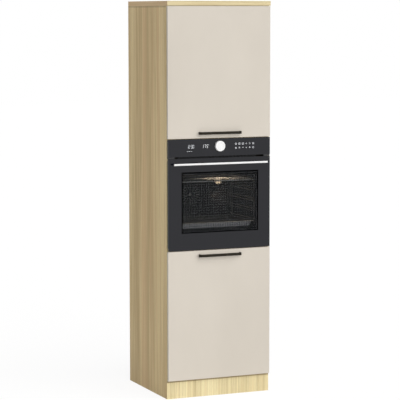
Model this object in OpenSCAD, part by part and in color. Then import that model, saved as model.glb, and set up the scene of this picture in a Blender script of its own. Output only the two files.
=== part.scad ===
// Tall kitchen housing unit with a built-in oven between two doors.
// Millimetres. X runs across the front, Y from the fronts to the wall, Z up from the floor.
// The origin is on the floor, under the middle of the whole unit's box.

/* [Cabinet] */
// Outside width of the unit
unit_w = 600; // [560:1:640]
// Height from the floor to the top of the cap board
unit_h = 2130; // [2080:1:2200]
// Depth of the side panels, from front edge to wall edge
carcass_d = 558; // [550:1:600]
// Thickness of the side panels, the fixed boards and the loose shelves
board_t = 18; // [16:0.5:19]
// Thickness of the cap board
cap_t = 25; // [22:1:38]
// Height of the plinth board
plinth_h = 100; // [80:1:150]
// Thickness of the plinth board
plinth_t = 16; // [12:1:19]
// Height of the rail that is screwed to the wall
wall_rail_h = 100; // [80:1:140]
// Thickness of the rail that is screwed to the wall
wall_rail_t = 16; // [12:1:19]
// Distance between the two wall screws
wall_screw_pitch = 400; // [300:1:440]
// Diameter of the wall screw holes
wall_screw_hole_d = 6; // [5:0.5:8]
// Thickness of the hardboard backs
back_t = 3; // [3:0.5:5]
// Distance from the wall edge of the sides to the hardboard backs
back_inset = 15; // [12:1:16]
// Depth of the groove that holds a hardboard back
back_groove_d = 6; // [4:0.5:8]
// Width of the air cut-out at the wall side of the two boards round the oven
air_cut_w = 400; // [300:1:460]
// Depth of that air cut-out
air_cut_d = 45; // [30:1:60]

/* [Shelves] */
// Height of the loose shelf over the floor of the lower compartment
lower_shelf_rise = 320; // [288:32:384]
// Height of the loose shelf over the floor of the upper compartment
upper_shelf_rise = 320; // [288:32:384]
// Distance from a loose shelf's front edge to the front edge of the sides
shelf_setback = 20; // [10:1:40]
// Gap between a loose shelf's end and the side panel
shelf_end_gap = 1; // [0.5:0.5:2]
// Diameter of the shelf pin holes
pin_hole_d = 5; // [5:0.5:6]
// Depth of the shelf pin holes
pin_hole_depth = 10; // [8:1:12]
// Distance between the holes in a row
pin_pitch = 32; // [25:1:40]
// Number of holes in a row
pin_rows = 7; // [5:2:9]
// Distance of the hole rows from the front and wall edges
pin_edge = 37; // [32:1:50]
// Diameter of the part of a pin that the shelf lies on
pin_head_d = 7; // [6:0.5:9]
// Length of that part
pin_head_l = 7; // [6:0.5:10]
// Diameter of the cam fittings under the fixed boards
cam_d = 15; // [12:0.5:15]
// Depth of the cam fittings
cam_h = 12.5; // [10:0.5:13]
// Distance of a cam fitting from the end of its board
cam_end = 34; // [24:1:40]
// Distance of a cam fitting from the front or wall edge of its board
cam_edge = 60; // [40:1:90]

/* [Doors] */
// Thickness of the doors
door_t = 16; // [16:0.5:19]
// Gap between a closed door and the front edge of the sides
door_gap = 2; // [2:0.25:3]
// Height of the lower door
lower_door_h = 699; // [660:1:720]
// Gap between a door and the outside of the unit
side_reveal = 2; // [1:0.5:3]
// Gap between one front and the next
front_gap = 3.5; // [3:0.5:5]
// Distance of a hinge from the door's end
hinge_end = 100; // [80:1:140]

/* [Bow handles] */
// Length of a bow handle
handle_l = 244; // [200:1:320]
// Height of a bow handle
handle_h = 14.5; // [8:0.5:16]
// How far a bow handle stands in front of the door
handle_reach = 25; // [22:0.5:28]
// Thickness of the bow seen from above
handle_bow_t = 7; // [5:0.5:9]
// Distance from the handle's centre line to the near end of the door
handle_inset = 27; // [22:0.5:40]
// Diameter of the handle screws
handle_screw_d = 4; // [3:0.5:5]
// Diameter of the handle screws' heads
handle_screw_head_d = 9; // [7:0.5:10]
// Height of the handle screws' heads
handle_screw_head_h = 2.5; // [1.5:0.5:3]
// How deep a handle screw reaches into the handle
handle_screw_bite = 8; // [5:0.5:12]

/* [Cup hinges] */
// Diameter of the hinge cup
cup_d = 35; // [34:0.5:36]
// Depth of the hinge cup in the door
cup_depth = 11.5; // [11:0.25:12.5]
// Distance from the door's edge to the rim of the cup
cup_edge = 5; // [4:0.5:6]
// Thickness of the cup's wall, floor and flange
cup_wall = 1; // [0.8:0.1:1.2]
// Width of the cup's flange along the door's edge
flange_l = 60; // [56:1:66]
// Width of the hinge arm
arm_w = 15; // [14.5:0.5:18]
// Thickness of the hinge arm's sheet
arm_t = 1.2; // [1:0.1:1.5]
// Distance of the mounting plate's first screw from the sides' front edge
plate_edge = 37; // [36:1:40]
// Length of the mounting plate
plate_l = 46; // [42:1:52]
// Height of the mounting plate's wings along the side panel
plate_wing_l = 48; // [44:1:56]
// Thickness of the mounting plate
plate_t = 4; // [3:0.5:6]
// Thickness of a link of the hinge
link_t = 1.6; // [1.4:0.1:1.8]
// Diameter of the hinge's pivot pins
link_pin_d = 3; // [2.5:0.25:3.25]
// Radial clearance of a link on its pivot pin
pin_fit = 0.05; // [0.02:0.01:0.1]
// Radial clearance at the knee, where the two links' paths differ a little
knee_play = 1.7; // [1.5:0.1:1.9]

/* [Oven front] */
// Height of the oven's front, door and control panel together
oven_front_h = 596; // [590:0.5:600]
// Width that the oven's front leaves at each side of the unit
oven_reveal = 2.5; // [2:0.5:4]
// Height of the control panel
fascia_h = 93.5; // [90:0.5:100]
// Height of the air gap between the control panel and the oven door
air_gap_h = 10; // [5:0.5:12]
// Width of the cheek that closes the air gap at each side
gap_cheek_w = 36; // [10:1:50]
// Thickness of the front glass
front_glass_t = 4; // [4:0.5:5]
// Depth of the trim behind the front glass, measured from the front
trim_d = 14.5; // [12:0.5:14.5]
// Depth of the oven door without the inner glass, measured from the front
door_body_d = 28; // [26:0.5:28]
// Thickness of the inner glass
inner_glass_t = 4; // [3:0.5:4]
// Distance from the end of the oven door's handle to the side of the front
oven_handle_side = 24.5; // [15:0.5:60]
// Height of the oven door's handle
oven_handle_h = 10; // [9:0.5:16]
// Thickness of the oven door's handle, front to back
oven_handle_t = 8; // [6:0.5:9]
// How far the oven door's handle stands in front of the glass
oven_handle_reach = 28; // [26:0.5:40]
// Distance from the handle's centre line to the top of the oven door
oven_handle_inset = 29; // [25:0.5:60]
// Distance of a handle post from the upright profile in the door
post_gap = 11; // [8:0.5:30]
// Diameter of a handle post
post_d = 9; // [7:0.5:9]
// Diameter of the stud that holds a post through the glass
stud_d = 5; // [4:0.5:6]

/* [Control knob] */
// Diameter of the control knob
knob_d = 56; // [50:1:66]
// How far the control knob stands in front of the panel
knob_reach = 14; // [12:0.5:22]
// Gap between the knob and the panel
knob_gap = 0.8; // [0.5:0.1:1.5]
// Diameter of the knob's shaft
knob_shaft_d = 6; // [5:0.5:8]
// Radial clearance of the knob's shaft in the panel
knob_fit = 0.05; // [0.02:0.01:0.1]
// Height of the knob's centre over the lower edge of the panel
knob_rise = 53; // [44:1:58]

/* [Oven body] */
// How far the board under the oven stands above the oven front's lower edge
sill_lap = 2.5; // [2:0.5:6]
// How far the board over the oven stands below the oven front's upper edge
head_lap = 3.5; // [2:0.5:6]
// Gap between the oven's casing and the side panels
casing_side_gap = 4; // [3:0.5:8]
// Gap between the top of the casing and the board over it
casing_top_gap = 5; // [3:0.5:10]
// Depth of the casing behind its front plate
casing_d = 505; // [490:1:510]
// Thickness of the sheet metal
sheet_t = 1.5; // [1.2:0.1:2]
// How far the front plate lies behind the sides' front edge
frame_recess = 20; // [19.5:0.5:22]
// Width of the lips that are screwed to the sides' front edge
lip_w = 14; // [12:0.5:15]
// Length of the screws through the lips
lip_screw_l = 30; // [25:1:35]
// Distance of those screws from the ends of the casing
lip_screw_inset = 60; // [40:1:90]
// Diameter of those screws
lip_screw_d = 3.6; // [3:0.1:4]
// Space for insulation at each side of the cavity
pack_side = 38; // [30:1:50]
// Space for insulation under the cavity
pack_floor = 75; // [60:1:80]
// Distance from the cavity's ceiling to the lower edge of the control panel
cavity_head = 69; // [62:1:80]
// Depth of the cavity
cavity_d = 400; // [380:1:420]
// Radius of the cavity's corners
cavity_r = 14; // [8:1:20]
// Width of the door gasket
gasket_w = 8; // [6:0.5:10]
// Distance from the cavity's mouth to the gasket
gasket_gap = 6; // [4:0.5:8]

/* [Oven door hinge] */
// Height of the hinge pin over the lower edge of the oven door
oven_pin_rise = 9.5; // [9:0.25:10]
// Depth of the hinge pin behind the front
oven_pin_depth = 8; // [7.75:0.25:8.5]
// Diameter of the hinge pin
oven_pin_d = 4; // [3.5:0.25:4]
// Outside diameter of the eye round the pin
oven_eye_d = 7.2; // [7:0.1:7.4]
// Thickness of the hinge arm
oven_arm_t = 4; // [3:0.5:5]
// Thickness of each cheek of the hinge fork
cheek_t = 3.5; // [3:0.5:4]
// Gap between an arm and a cheek
cheek_gap = 0.4; // [0.3:0.1:0.6]

/* [Inside the cavity] */
// Diameter of the side racks' upright wires
upright_d = 5; // [4:0.5:6]
// Diameter of the side racks' runner wires
runner_d = 4; // [3:0.5:5]
// Number of shelf levels
levels = 5; // [4:1:5]
// Part of the cavity's height that the levels leave free
levels_free = 76; // [60:1:100]
// Level that the wire shelf lies on
rack_on = 5; // [2:1:5]
// Level that the baking tray lies on, under the wire shelf
tray_on = 1; // [1:1:4]
// Height of the lowest level over the cavity's floor
level_first = 56; // [48:1:60]
// Distance between the two runners of a level
runner_gap = 14; // [12:1:18]
// Gap between the side racks' upright wires and the cavity's side wall
rack_stand = 2; // [1:0.5:4]
// Diameter of the wire shelf's frame
rack_frame_d = 6; // [5:0.5:7]
// Diameter of the wire shelf's bars
rack_bar_d = 3; // [2.5:0.25:3.5]
// Number of bars of the wire shelf
rack_bars = 15; // [9:2:21]
// Height of the baking tray
tray_h = 26; // [20:1:40]
// Thickness of the baking tray's enamelled sheet
tray_t = 1.5; // [1.2:0.1:2]
// Width of the baking tray's rim
tray_rim = 9; // [7:0.5:12]
// How much narrower the tray's floor is at each side
tray_slope = 7; // [4:0.5:10]
// Gap between the fan's cover and the cavity's side walls
cover_side_gap = 90; // [85:1:100]
// Gap between the fan's cover and the cavity's floor or ceiling
cover_end_gap = 33; // [30:1:40]
// Depth of the fan's cover
fan_cover_d = 34; // [32:1:40]
// Diameter of the fan wheel
fan_d = 140; // [120:1:150]
// Number of fan blades
fan_blades = 9; // [6:1:12]
// Depth of the fan blades
fan_blade_d = 16; // [12:1:17]
// Diameter of the fan's shaft
fan_shaft_d = 8; // [6:0.5:10]
// Diameter of the heating elements' tube
element_d = 6.4; // [5.5:0.1:8]
// Radius of the ring element
ring_r = 92; // [86:1:100]
// Distance between the ring element's two tails
ring_tail_gap = 20; // [16:1:30]
// Distance of the grill element under the cavity's ceiling
grill_drop = 22; // [16:1:30]
// Distance of the grill element's outer rods from the cavity's side walls
grill_side = 100; // [80:1:120]
// Diameter of the lamp's glass
lamp_d = 44; // [36:1:44]
// Distance of the lamp from the cavity's side wall
lamp_wall = 57; // [52:1:60]
// Distance of the lamp under the cavity's ceiling
lamp_drop = 106; // [80:1:140]

/* [Rear of the oven] */
// Width of the terminal box
terminal_w = 90; // [70:1:120]
// Height of the terminal box
terminal_h = 60; // [50:1:80]
// Depth of the terminal box
terminal_d = 24; // [20:1:24]
// Distance of the terminal box from the side of the casing
terminal_side = 40; // [30:1:80]
// Distance of the terminal box from the top of the casing
terminal_drop = 30; // [20:1:60]
// Wall of the terminal box
terminal_wall = 2.5; // [2:0.5:4]
// Diameter of the cable entry in the terminal box
cable_hole_d = 12; // [8:0.5:14]
// Number of air slots in each casing panel
air_slots = 12; // [6:1:16]
// Width of an air slot
air_slot_w = 4; // [3:0.5:6]

/* [Hidden] */
$fn = 64;

// Depth planes. face_y is the plane of all the fronts.
front_most = max(handle_reach, oven_handle_reach, knob_reach);
total_d = front_most + door_t + door_gap + carcass_d;
face_y = front_most - total_d / 2;
front_y = face_y + door_t + door_gap;
wall_y = front_y + carcass_d;
back_y = wall_y - back_inset - back_t;
frame_y = front_y + frame_recess;

// Heights
side_h = unit_h - cap_t;
floor_z = plinth_h + board_t;
lower_door_top = plinth_h + lower_door_h;
oven_z = lower_door_top + front_gap;
oven_top = oven_z + oven_front_h;
upper_door_z = oven_top + front_gap;
upper_door_h = side_h - side_reveal - upper_door_z;
niche_z = oven_z + sill_lap;
niche_top = oven_top - head_lap;
rail_z = side_h - wall_rail_h;

// Half widths, measured from the middle
out_x = unit_w / 2;
in_x = out_x - board_t;
door_x = out_x - side_reveal;
oven_x = out_x - oven_reveal;
casing_x = in_x - casing_side_gap;
cavity_x = casing_x - pack_side;

// Carcass
board_d = back_y - front_y;
shelf_d = board_d - shelf_setback - 5;
pin_y_front = front_y + pin_edge;
pin_y_wall = back_y - pin_edge;
pin_below = (pin_rows - 1) / 2 * pin_pitch;
upper_floor_z = niche_top + board_t;
lower_shelf_z = floor_z + lower_shelf_rise;
upper_shelf_z = upper_floor_z + upper_shelf_rise;

// Cup hinge, in the plane seen from above: u from the door's edge, v from the front plane
cup_u = -cup_edge - cup_d / 2;
arm_pin = [-25.5, door_t + door_gap + 4];
cup_pin = [-29, door_t - 6.5];
arm_link_l = 29.6;
cup_link_l = 36.1;
arm_link_angle = 151.42;
cup_link_angle = 129.81;
knee_pin = arm_pin + arm_link_l * [cos(arm_link_angle), sin(arm_link_angle)];
knee_hole = cup_pin + cup_link_l * [cos(cup_link_angle), sin(cup_link_angle)];
link_w = 4.4;
upper_hinges = [upper_door_z + hinge_end, upper_door_z + upper_door_h - hinge_end];
lower_hinges = [plinth_h + hinge_end, lower_door_top - hinge_end];

// Oven
casing_h = niche_top - niche_z - casing_top_gap;
casing_top_z = niche_z + casing_h;
casing_y = frame_y + sheet_t;
casing_end = casing_y + casing_d;
oven_door_h = oven_front_h - fascia_h - air_gap_h;
oven_door_top = oven_z + oven_door_h;
fascia_z = oven_door_top + air_gap_h;
cavity_z = niche_z + pack_floor;
cavity_top = fascia_z - cavity_head;
cavity_h = cavity_top - cavity_z;
cavity_mid_z = (cavity_z + cavity_top) / 2;
cavity_end = casing_y + cavity_d;
oven_pin_y = face_y + oven_pin_depth;
oven_pin_z = oven_z + oven_pin_rise;
column_x = casing_x - 32;
column_z = oven_pin_z + 8;
column_top = oven_door_top - 9;
inner_glass_back = face_y + door_body_d + inner_glass_t;
gasket_y = inner_glass_back + 0.4;
hinge_arm_x = casing_x - 18;
knob_z = fascia_z + knob_rise;
oven_handle_z = oven_door_top - oven_handle_inset;
oven_handle_l = 2 * (oven_x - oven_handle_side);
lip_x = casing_x + lip_w;
lip_screw_x = in_x + board_t / 2 - 1;
lip_screws = [niche_z + lip_screw_inset, casing_top_z - lip_screw_inset];
// The lips start over the door glass's lower edge as it lies when the door is open
lip_foot_z = oven_pin_z - oven_pin_depth + front_glass_t + 2;
weld = 0.8;
runner_x = cavity_x - rack_stand - upright_d - runner_d / 2 + weld;
rack_x = cavity_x - rack_stand - upright_d - 1;
rack_y = casing_y + 12;
rack_d = cavity_d - fan_cover_d - 24;
level_pitch = (cavity_h - levels_free) / levels;
rack_level = level_z(min(rack_on, levels)) + runner_d / 2;
tray_level = level_z(min(tray_on, levels - 1)) + runner_d / 2;
fan_y = cavity_end - 8 - fan_blade_d;
fan_cover_w = 2 * (cavity_x - cover_side_gap);
fan_cover_h = cavity_h - 2 * cover_end_gap;
lamp_at = [cavity_x - lamp_wall, cavity_end, cavity_top - lamp_drop];
lamp_holder_d = lamp_d - 12;

// Height of a level's lower runner
function level_z(level) = cavity_z + level_first + (level - 1) * level_pitch;

// Finishes, as in the photo
CASHMERE = [0.85, 0.81, 0.76];
OAK = [0.93, 0.86, 0.68];
BLACK = [0.10, 0.09, 0.09];
STEEL = [0.78, 0.78, 0.77];
WHITE = [0.96, 0.96, 0.96];
ENAMEL = [0.22, 0.23, 0.26];
GLASS = [0.12, 0.12, 0.13];
HARDBOARD = [0.80, 0.76, 0.70];
ZINC = [0.66, 0.67, 0.68];

// A straight-sided block from its low corner
module block(low, size) {
    translate(low)
        cube(size);
}

// A round bar along X, Y or Z from its starting point
module bar_x(at, length, d) {
    translate(at)
        rotate([0, 90, 0])
            cylinder(h = length, d = d);
}

module bar_y(at, length, d) {
    translate(at)
        rotate([-90, 0, 0])
            cylinder(h = length, d = d);
}

module bar_z(at, length, d) {
    translate(at)
        cylinder(h = length, d = d);
}

// A thin wire has eight flats, and d is its size across them
module wire_z(at, length, d) {
    translate(at)
        rotate(180 / 8)
            cylinder(h = length, d = d / cos(180 / 8), $fn = 8);
}

module wire_x(at, length, d) {
    translate(at)
        rotate([0, 90, 0])
            wire_z([0, 0, 0], length, d);
}

module wire_y(at, length, d) {
    translate(at)
        rotate([-90, 0, 0])
            wire_z([0, 0, 0], length, d);
}

// A rectangle with true round corners, from its low corner
module round_rect(w, h, r) {
    translate([r, 0])
        square([w - 2 * r, h]);
    translate([0, r])
        square([w, h - 2 * r]);
    for (x = [r, w - r], y = [r, h - r])
        translate([x, y])
            circle(r = r);
}

// A plate that stands upright across the unit, given by its outline in X and Z
module upright_plate(y, t) {
    translate([0, y + t, 0])
        rotate([90, 0, 0])
            linear_extrude(height = t)
                children();
}

// Mirror a left-hand piece to the right
module both_sides() {
    children();
    mirror([1, 0, 0])
        children();
}

// ---------- Carcass ----------

// One side panel, drawn on the left: shelf pin holes, back groove and screw holes
module side_panel_body() {
    difference() {
        block([-out_x, front_y, 0], [board_t, carcass_d, side_h]);
        for (z0 = [lower_shelf_z, upper_shelf_z], k = [0:pin_rows - 1])
            for (y = [pin_y_front, pin_y_wall])
                bar_x([-in_x - pin_hole_depth, y, z0 - pin_head_d / 2 - pin_below + k * pin_pitch],
                    pin_hole_depth + 1, pin_hole_d);
        block([-in_x - back_groove_d, back_y, plinth_h],
            [back_groove_d + 1, back_t, niche_z - plinth_h]);
        block([-in_x - back_groove_d, back_y, niche_top],
            [back_groove_d + 1, back_t, rail_z - niche_top]);
        for (z = lip_screws)
            bar_y([-lip_screw_x, front_y - 1, z], lip_screw_l + 1, lip_screw_d);
    }
}

module side_panel_left() {
    color(OAK)
        side_panel_body();
}

module side_panel_right() {
    color(OAK)
        mirror([1, 0, 0])
            side_panel_body();
}

// The cap board lies on the sides and reaches out to the front plane
module top_panel() {
    color(OAK)
        block([-out_x, face_y, side_h], [unit_w, wall_y - face_y, cap_t]);
}

// A fixed board between the sides, with its cam fittings let into the underside
module fixed_board(z) {
    difference() {
        block([-in_x, front_y, z], [2 * in_x, board_d, board_t]);
        cams(z);
        children();
    }
}

module cams(z) {
    for (x = [-in_x + cam_end, in_x - cam_end], y = [front_y + cam_edge, back_y - cam_edge])
        bar_z([x, y, z], cam_h, cam_d);
}

module air_cut(z) {
    block([-air_cut_w / 2, back_y - air_cut_d, z - 1], [air_cut_w, air_cut_d + 1, board_t + 2]);
}

module bottom_panel() {
    color(OAK)
        fixed_board(plinth_h);
}

module oven_shelf() {
    color(OAK)
        fixed_board(niche_z - board_t)
            air_cut(niche_z - board_t);
}

module dividing_shelf() {
    color(OAK)
        fixed_board(niche_top)
            air_cut(niche_top);
}

module loose_shelf(z) {
    block([-in_x + shelf_end_gap, front_y + shelf_setback, z],
        [2 * (in_x - shelf_end_gap), shelf_d, board_t]);
}

module upper_shelf() {
    color(OAK)
        loose_shelf(upper_shelf_z);
}

module lower_shelf() {
    color(OAK)
        loose_shelf(lower_shelf_z);
}

module hardboard_back(z0, z1) {
    groove_play = 0.5;
    x = in_x + back_groove_d - groove_play;
    block([-x, back_y, z0], [2 * x, back_t, z1 - z0]);
}

module back_panel_upper() {
    color(HARDBOARD)
        hardboard_back(niche_top, rail_z);
}

module back_panel_lower() {
    color(HARDBOARD)
        hardboard_back(plinth_h, niche_z);
}

module wall_rail() {
    color(OAK)
        difference() {
            block([-in_x, wall_y - wall_rail_t, rail_z], [2 * in_x, wall_rail_t, wall_rail_h]);
            for (x = [-1, 1] * wall_screw_pitch / 2)
                bar_y([x, wall_y - wall_rail_t - 1, rail_z + wall_rail_h / 2],
                    wall_rail_t + 2, wall_screw_hole_d);
        }
}

module plinth_board() {
    color(OAK)
        block([-in_x, front_y, 0], [2 * in_x, plinth_t, plinth_h]);
}

// Four pins carry each loose shelf
module shelf_pins() {
    color(STEEL)
        for (z = [lower_shelf_z, upper_shelf_z], y = [pin_y_front, pin_y_wall])
            both_sides() {
                bar_x([-in_x - pin_hole_depth, y, z - pin_head_d / 2], pin_hole_depth, pin_hole_d);
                bar_x([-in_x, y, z - pin_head_d / 2], pin_head_l, pin_head_d);
            }
}

// A cam fitting has a cross recess in its face
module cam_fittings() {
    recess_l = cam_d * 0.55;
    recess_w = 2.2;
    recess_d = 3;
    color(ZINC)
        for (z = [plinth_h, niche_z - board_t, niche_top])
            difference() {
                cams(z);
                for (x = [-in_x + cam_end, in_x - cam_end])
                    for (y = [front_y + cam_edge, back_y - cam_edge], a = [0, 90])
                        translate([x, y, z])
                            rotate(a)
                                block([-recess_l / 2, -recess_w / 2, -1],
                                    [recess_l, recess_w, recess_d + 1]);
            }
}

// ---------- Doors ----------

// A door with cup bores at the hinge side and two handle screw holes
module door_leaf(z0, h, hinges, handle_z) {
    difference() {
        block([-door_x, face_y, z0], [2 * door_x, door_t, h]);
        for (z = hinges)
            bar_y([door_x + cup_u, face_y + door_t - cup_depth, z], cup_depth + 1, cup_d);
        for (x = handle_screws())
            bar_y([x, face_y - 1, handle_z], door_t + 2, handle_screw_d);
    }
}

module upper_door() {
    color(CASHMERE)
        door_leaf(upper_door_z, upper_door_h, upper_hinges, upper_door_z + handle_inset);
}

module lower_door() {
    color(CASHMERE)
        door_leaf(plinth_h, lower_door_h, lower_hinges, lower_door_top - handle_inset);
}

function handle_screws() = [-1, 1] * (handle_l - handle_bow_t) / 2;

// The bow is bent from a flat bar: its outline from above, cut to its rounded section
module bow_handle(z) {
    bend_r = 9;
    edge_r = 2;
    half = handle_l / 2;
    difference() {
        intersection() {
            translate([-half, face_y - handle_reach, z - handle_h / 2])
                linear_extrude(height = handle_h)
                    difference() {
                        bow_outline(handle_l, handle_reach, bend_r);
                        translate([handle_bow_t, handle_bow_t])
                            bow_outline(handle_l - 2 * handle_bow_t, handle_reach, bend_r - 5);
                    }
            translate([-half, face_y - handle_reach, z - handle_h / 2])
                rotate([90, 0, 90])
                    linear_extrude(height = handle_l)
                        bow_outline_side(handle_reach, handle_h, edge_r);
        }
        for (x = handle_screws())
            bar_y([x, face_y - handle_screw_bite, z], handle_screw_bite + 1, handle_screw_d);
    }
}

// A rectangle whose two front corners are round
module bow_outline(w, d, r) {
    translate([r, 0])
        square([w - 2 * r, d]);
    translate([0, r])
        square([w, d - r]);
    for (x = [r, w - r])
        translate([x, r])
            circle(r = r);
}

// The bar's section seen from its end: two front edges are round
module bow_outline_side(d, h, r) {
    translate([r, 0])
        square([d - r, h]);
    translate([0, r])
        square([d, h - 2 * r]);
    for (y = [r, h - r])
        translate([r, y])
            circle(r = r);
}

module upper_handle() {
    color(BLACK)
        bow_handle(upper_door_z + handle_inset);
}

module lower_handle() {
    color(BLACK)
        bow_handle(lower_door_top - handle_inset);
}

module door_screws(z) {
    slot_w = 1;
    for (x = handle_screws())
        difference() {
            union() {
                bar_y([x, face_y - handle_screw_bite, z], door_t + handle_screw_bite, handle_screw_d);
                bar_y([x, face_y + door_t, z], handle_screw_head_h, handle_screw_head_d);
            }
            block([x - handle_screw_head_d / 3, face_y + door_t + handle_screw_head_h - 1,
                z - slot_w / 2], [handle_screw_head_d / 1.5, 2, slot_w]);
            block([x - slot_w / 2, face_y + door_t + handle_screw_head_h - 1,
                z - handle_screw_head_d / 3], [slot_w, 2, handle_screw_head_d / 1.5]);
        }
}

module upper_handle_screws() {
    color(ZINC)
        door_screws(upper_door_z + handle_inset);
}

module lower_handle_screws() {
    color(ZINC)
        door_screws(lower_door_top - handle_inset);
}

// ---------- Cup hinges ----------

// Children are drawn in the hinge's own frame: u, v and the height over its centre line
module at_hinge(z) {
    translate([door_x, face_y, z])
        children();
}

// The pressed cup, its flange and the pin that the cup link turns on
module hinge_cup() {
    rim_v = door_t + cup_wall;
    floor_v = door_t - cup_depth;
    ear_r = 8;
    difference() {
        union() {
            bar_y([cup_u, floor_v, 0], cup_depth, cup_d);
            bar_y([cup_u, door_t, 0], cup_wall, cup_d);
            for (s = [-1, 1])
                bar_y([cup_u, door_t, s * (flange_l / 2 - ear_r)], cup_wall, 2 * ear_r);
            block([cup_u - ear_r, door_t, ear_r - flange_l / 2],
                [2 * ear_r, cup_wall, flange_l - 2 * ear_r]);
        }
        bar_y([cup_u, floor_v + cup_wall, 0], cup_depth + 1, cup_d - 2 * cup_wall);
        for (s = [-1, 1])
            bar_y([cup_u, door_t - 1, s * (flange_l / 2 - ear_r)], cup_wall + 2, 4);
    }
    half_pin = sqrt(pow(cup_d / 2, 2) - pow(cup_pin[0] - cup_u, 2)) - cup_wall / 2;
    bar_z([cup_pin[0], cup_pin[1], -half_pin], 2 * half_pin, link_pin_d);
}

module upper_hinge_cups() {
    color(STEEL)
        for (z = upper_hinges)
            at_hinge(z)
                hinge_cup();
}

module lower_hinge_cups() {
    color(STEEL)
        for (z = lower_hinges)
            at_hinge(z)
                hinge_cup();
}

plate_face_u = side_reveal - board_t - plate_t;
arm_top_u = arm_pin[0] - 8;
arm_nose_v = arm_pin[1] - 3.2;
arm_web_v = door_t + door_gap + plate_edge - 12;
arm_end_v = door_t + door_gap + plate_edge + plate_l - 10;

// The arm is a channel on the mounting plate, with two long cheeks that hold the arm link's pin
module hinge_arm() {
    cheek_depth = plate_face_u - arm_top_u;
    for (s = [-1, 1])
        difference() {
            translate([0, 0, s > 0 ? arm_w / 2 - arm_t : -arm_w / 2])
                linear_extrude(height = arm_t)
                    polygon([
                        [plate_face_u, arm_web_v], [plate_face_u, arm_end_v],
                        [arm_top_u, arm_end_v], [arm_top_u, arm_nose_v + 10],
                        [arm_pin[0] - 3.2, arm_nose_v], [arm_pin[0] + 3.2, arm_nose_v],
                        [arm_pin[0] + 3.2, arm_web_v - 8]
                    ]);
            bar_z([arm_pin[0], arm_pin[1], -arm_w], 2 * arm_w, link_pin_d);
        }
    difference() {
        block([arm_top_u, arm_web_v, -arm_w / 2], [arm_t, arm_end_v - arm_web_v, arm_w]);
        translate([arm_top_u - 1, arm_end_v - 12, 0])
            rotate([0, 90, 0])
                cylinder(h = arm_t + 2, d = 6);
    }
    bar_z([arm_pin[0], arm_pin[1], -arm_w / 2], arm_w, link_pin_d);
}

module hinge_arms() {
    color(STEEL)
        for (z = concat(upper_hinges, lower_hinges))
            at_hinge(z)
                hinge_arm();
}

// The mounting plate is screwed to the side panel through two wings
module hinge_plate() {
    wing_w = 14;
    low_v = door_t + door_gap + plate_edge - 9;
    difference() {
        union() {
            block([plate_face_u, low_v, -arm_w / 2 - 1], [plate_t, plate_l, arm_w + 2]);
            block([plate_face_u, low_v + 2, -plate_wing_l / 2], [plate_t / 2, wing_w, plate_wing_l]);
            block([plate_face_u + plate_t / 2, low_v + 2, -plate_wing_l / 2],
                [plate_t / 2, wing_w, plate_wing_l]);
        }
        for (s = [-1, 1])
            bar_x([plate_face_u - 1, low_v + 2 + wing_w / 2, s * (plate_wing_l / 2 - 8)],
                plate_t + 2, 4.5);
    }
}

module hinge_plates() {
    color(ZINC)
        for (z = concat(upper_hinges, lower_hinges))
            at_hinge(z)
                hinge_plate();
}

// A flat link between two points, round at both ends
module link_outline(a, b, w, r_a, r_b) {
    span = b - a;
    length = norm(span);
    translate(a)
        rotate(atan2(span[1], span[0]))
            translate([0, -w / 2])
                square([length, w]);
    translate(a)
        circle(r = r_a);
    translate(b)
        circle(r = r_b);
}

// Two plates on the arm's pin, joined by the knee pin
module arm_link() {
    plate_z = arm_w / 2 - arm_t - 0.5 - link_t;
    end_r = link_pin_d / 2 + 1.4;
    for (s = [-1, 1])
        translate([0, 0, s > 0 ? plate_z : -plate_z - link_t])
            linear_extrude(height = link_t)
                difference() {
                    link_outline(arm_pin, knee_pin, link_w, end_r, end_r);
                    translate(arm_pin)
                        circle(d = link_pin_d + 2 * pin_fit);
                }
    bar_z([knee_pin[0], knee_pin[1], -plate_z], 2 * plate_z, link_pin_d);
}

// One plate with a long boss on the cup's pin and a wide hole round the knee pin
module cup_link() {
    boss_l = 6;
    hole_r = link_pin_d / 2 + knee_play;
    difference() {
        union() {
            translate([0, 0, -link_t / 2])
                linear_extrude(height = link_t)
                    link_outline(cup_pin, knee_hole, link_w, link_pin_d / 2 + 1.2, hole_r + 1.4);
            bar_z([cup_pin[0], cup_pin[1], -boss_l / 2], boss_l, link_pin_d + 2.4);
        }
        bar_z([cup_pin[0], cup_pin[1], -boss_l], 2 * boss_l, link_pin_d + 2 * pin_fit);
        bar_z([knee_hole[0], knee_hole[1], -boss_l], 2 * boss_l, 2 * hole_r);
    }
}

module upper_arm_links() {
    color(ZINC)
        for (z = upper_hinges)
            at_hinge(z)
                arm_link();
}

module upper_cup_links() {
    color(ZINC)
        for (z = upper_hinges)
            at_hinge(z)
                cup_link();
}

module lower_arm_links() {
    color(ZINC)
        for (z = lower_hinges)
            at_hinge(z)
                arm_link();
}

module lower_cup_links() {
    color(ZINC)
        for (z = lower_hinges)
            at_hinge(z)
                cup_link();
}

// ---------- Oven body ----------

module cavity_outline(grow) {
    translate([-cavity_x - grow, cavity_z - grow])
        round_rect(2 * (cavity_x + grow), cavity_h + 2 * grow, cavity_r + grow);
}

// The front plate with the cavity's mouth, folded forward at both sides into screw lips
module front_frame() {
    color(BLACK)
        difference() {
            union() {
                upright_plate(frame_y, sheet_t)
                    difference() {
                        translate([-casing_x, niche_z])
                            square([2 * casing_x, casing_h]);
                        cavity_outline(0);
                    }
                both_sides() {
                    block([-casing_x, front_y - sheet_t, lip_foot_z],
                        [sheet_t, frame_recess + 2 * sheet_t, casing_top_z - lip_foot_z]);
                    block([-lip_x, front_y - sheet_t, lip_foot_z],
                        [lip_w + sheet_t, sheet_t, casing_top_z - lip_foot_z]);
                }
            }
            both_sides()
                for (z = lip_screws)
                    bar_y([-lip_screw_x, front_y - sheet_t - 1, z], sheet_t + 2, lip_screw_d);
        }
}

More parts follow.
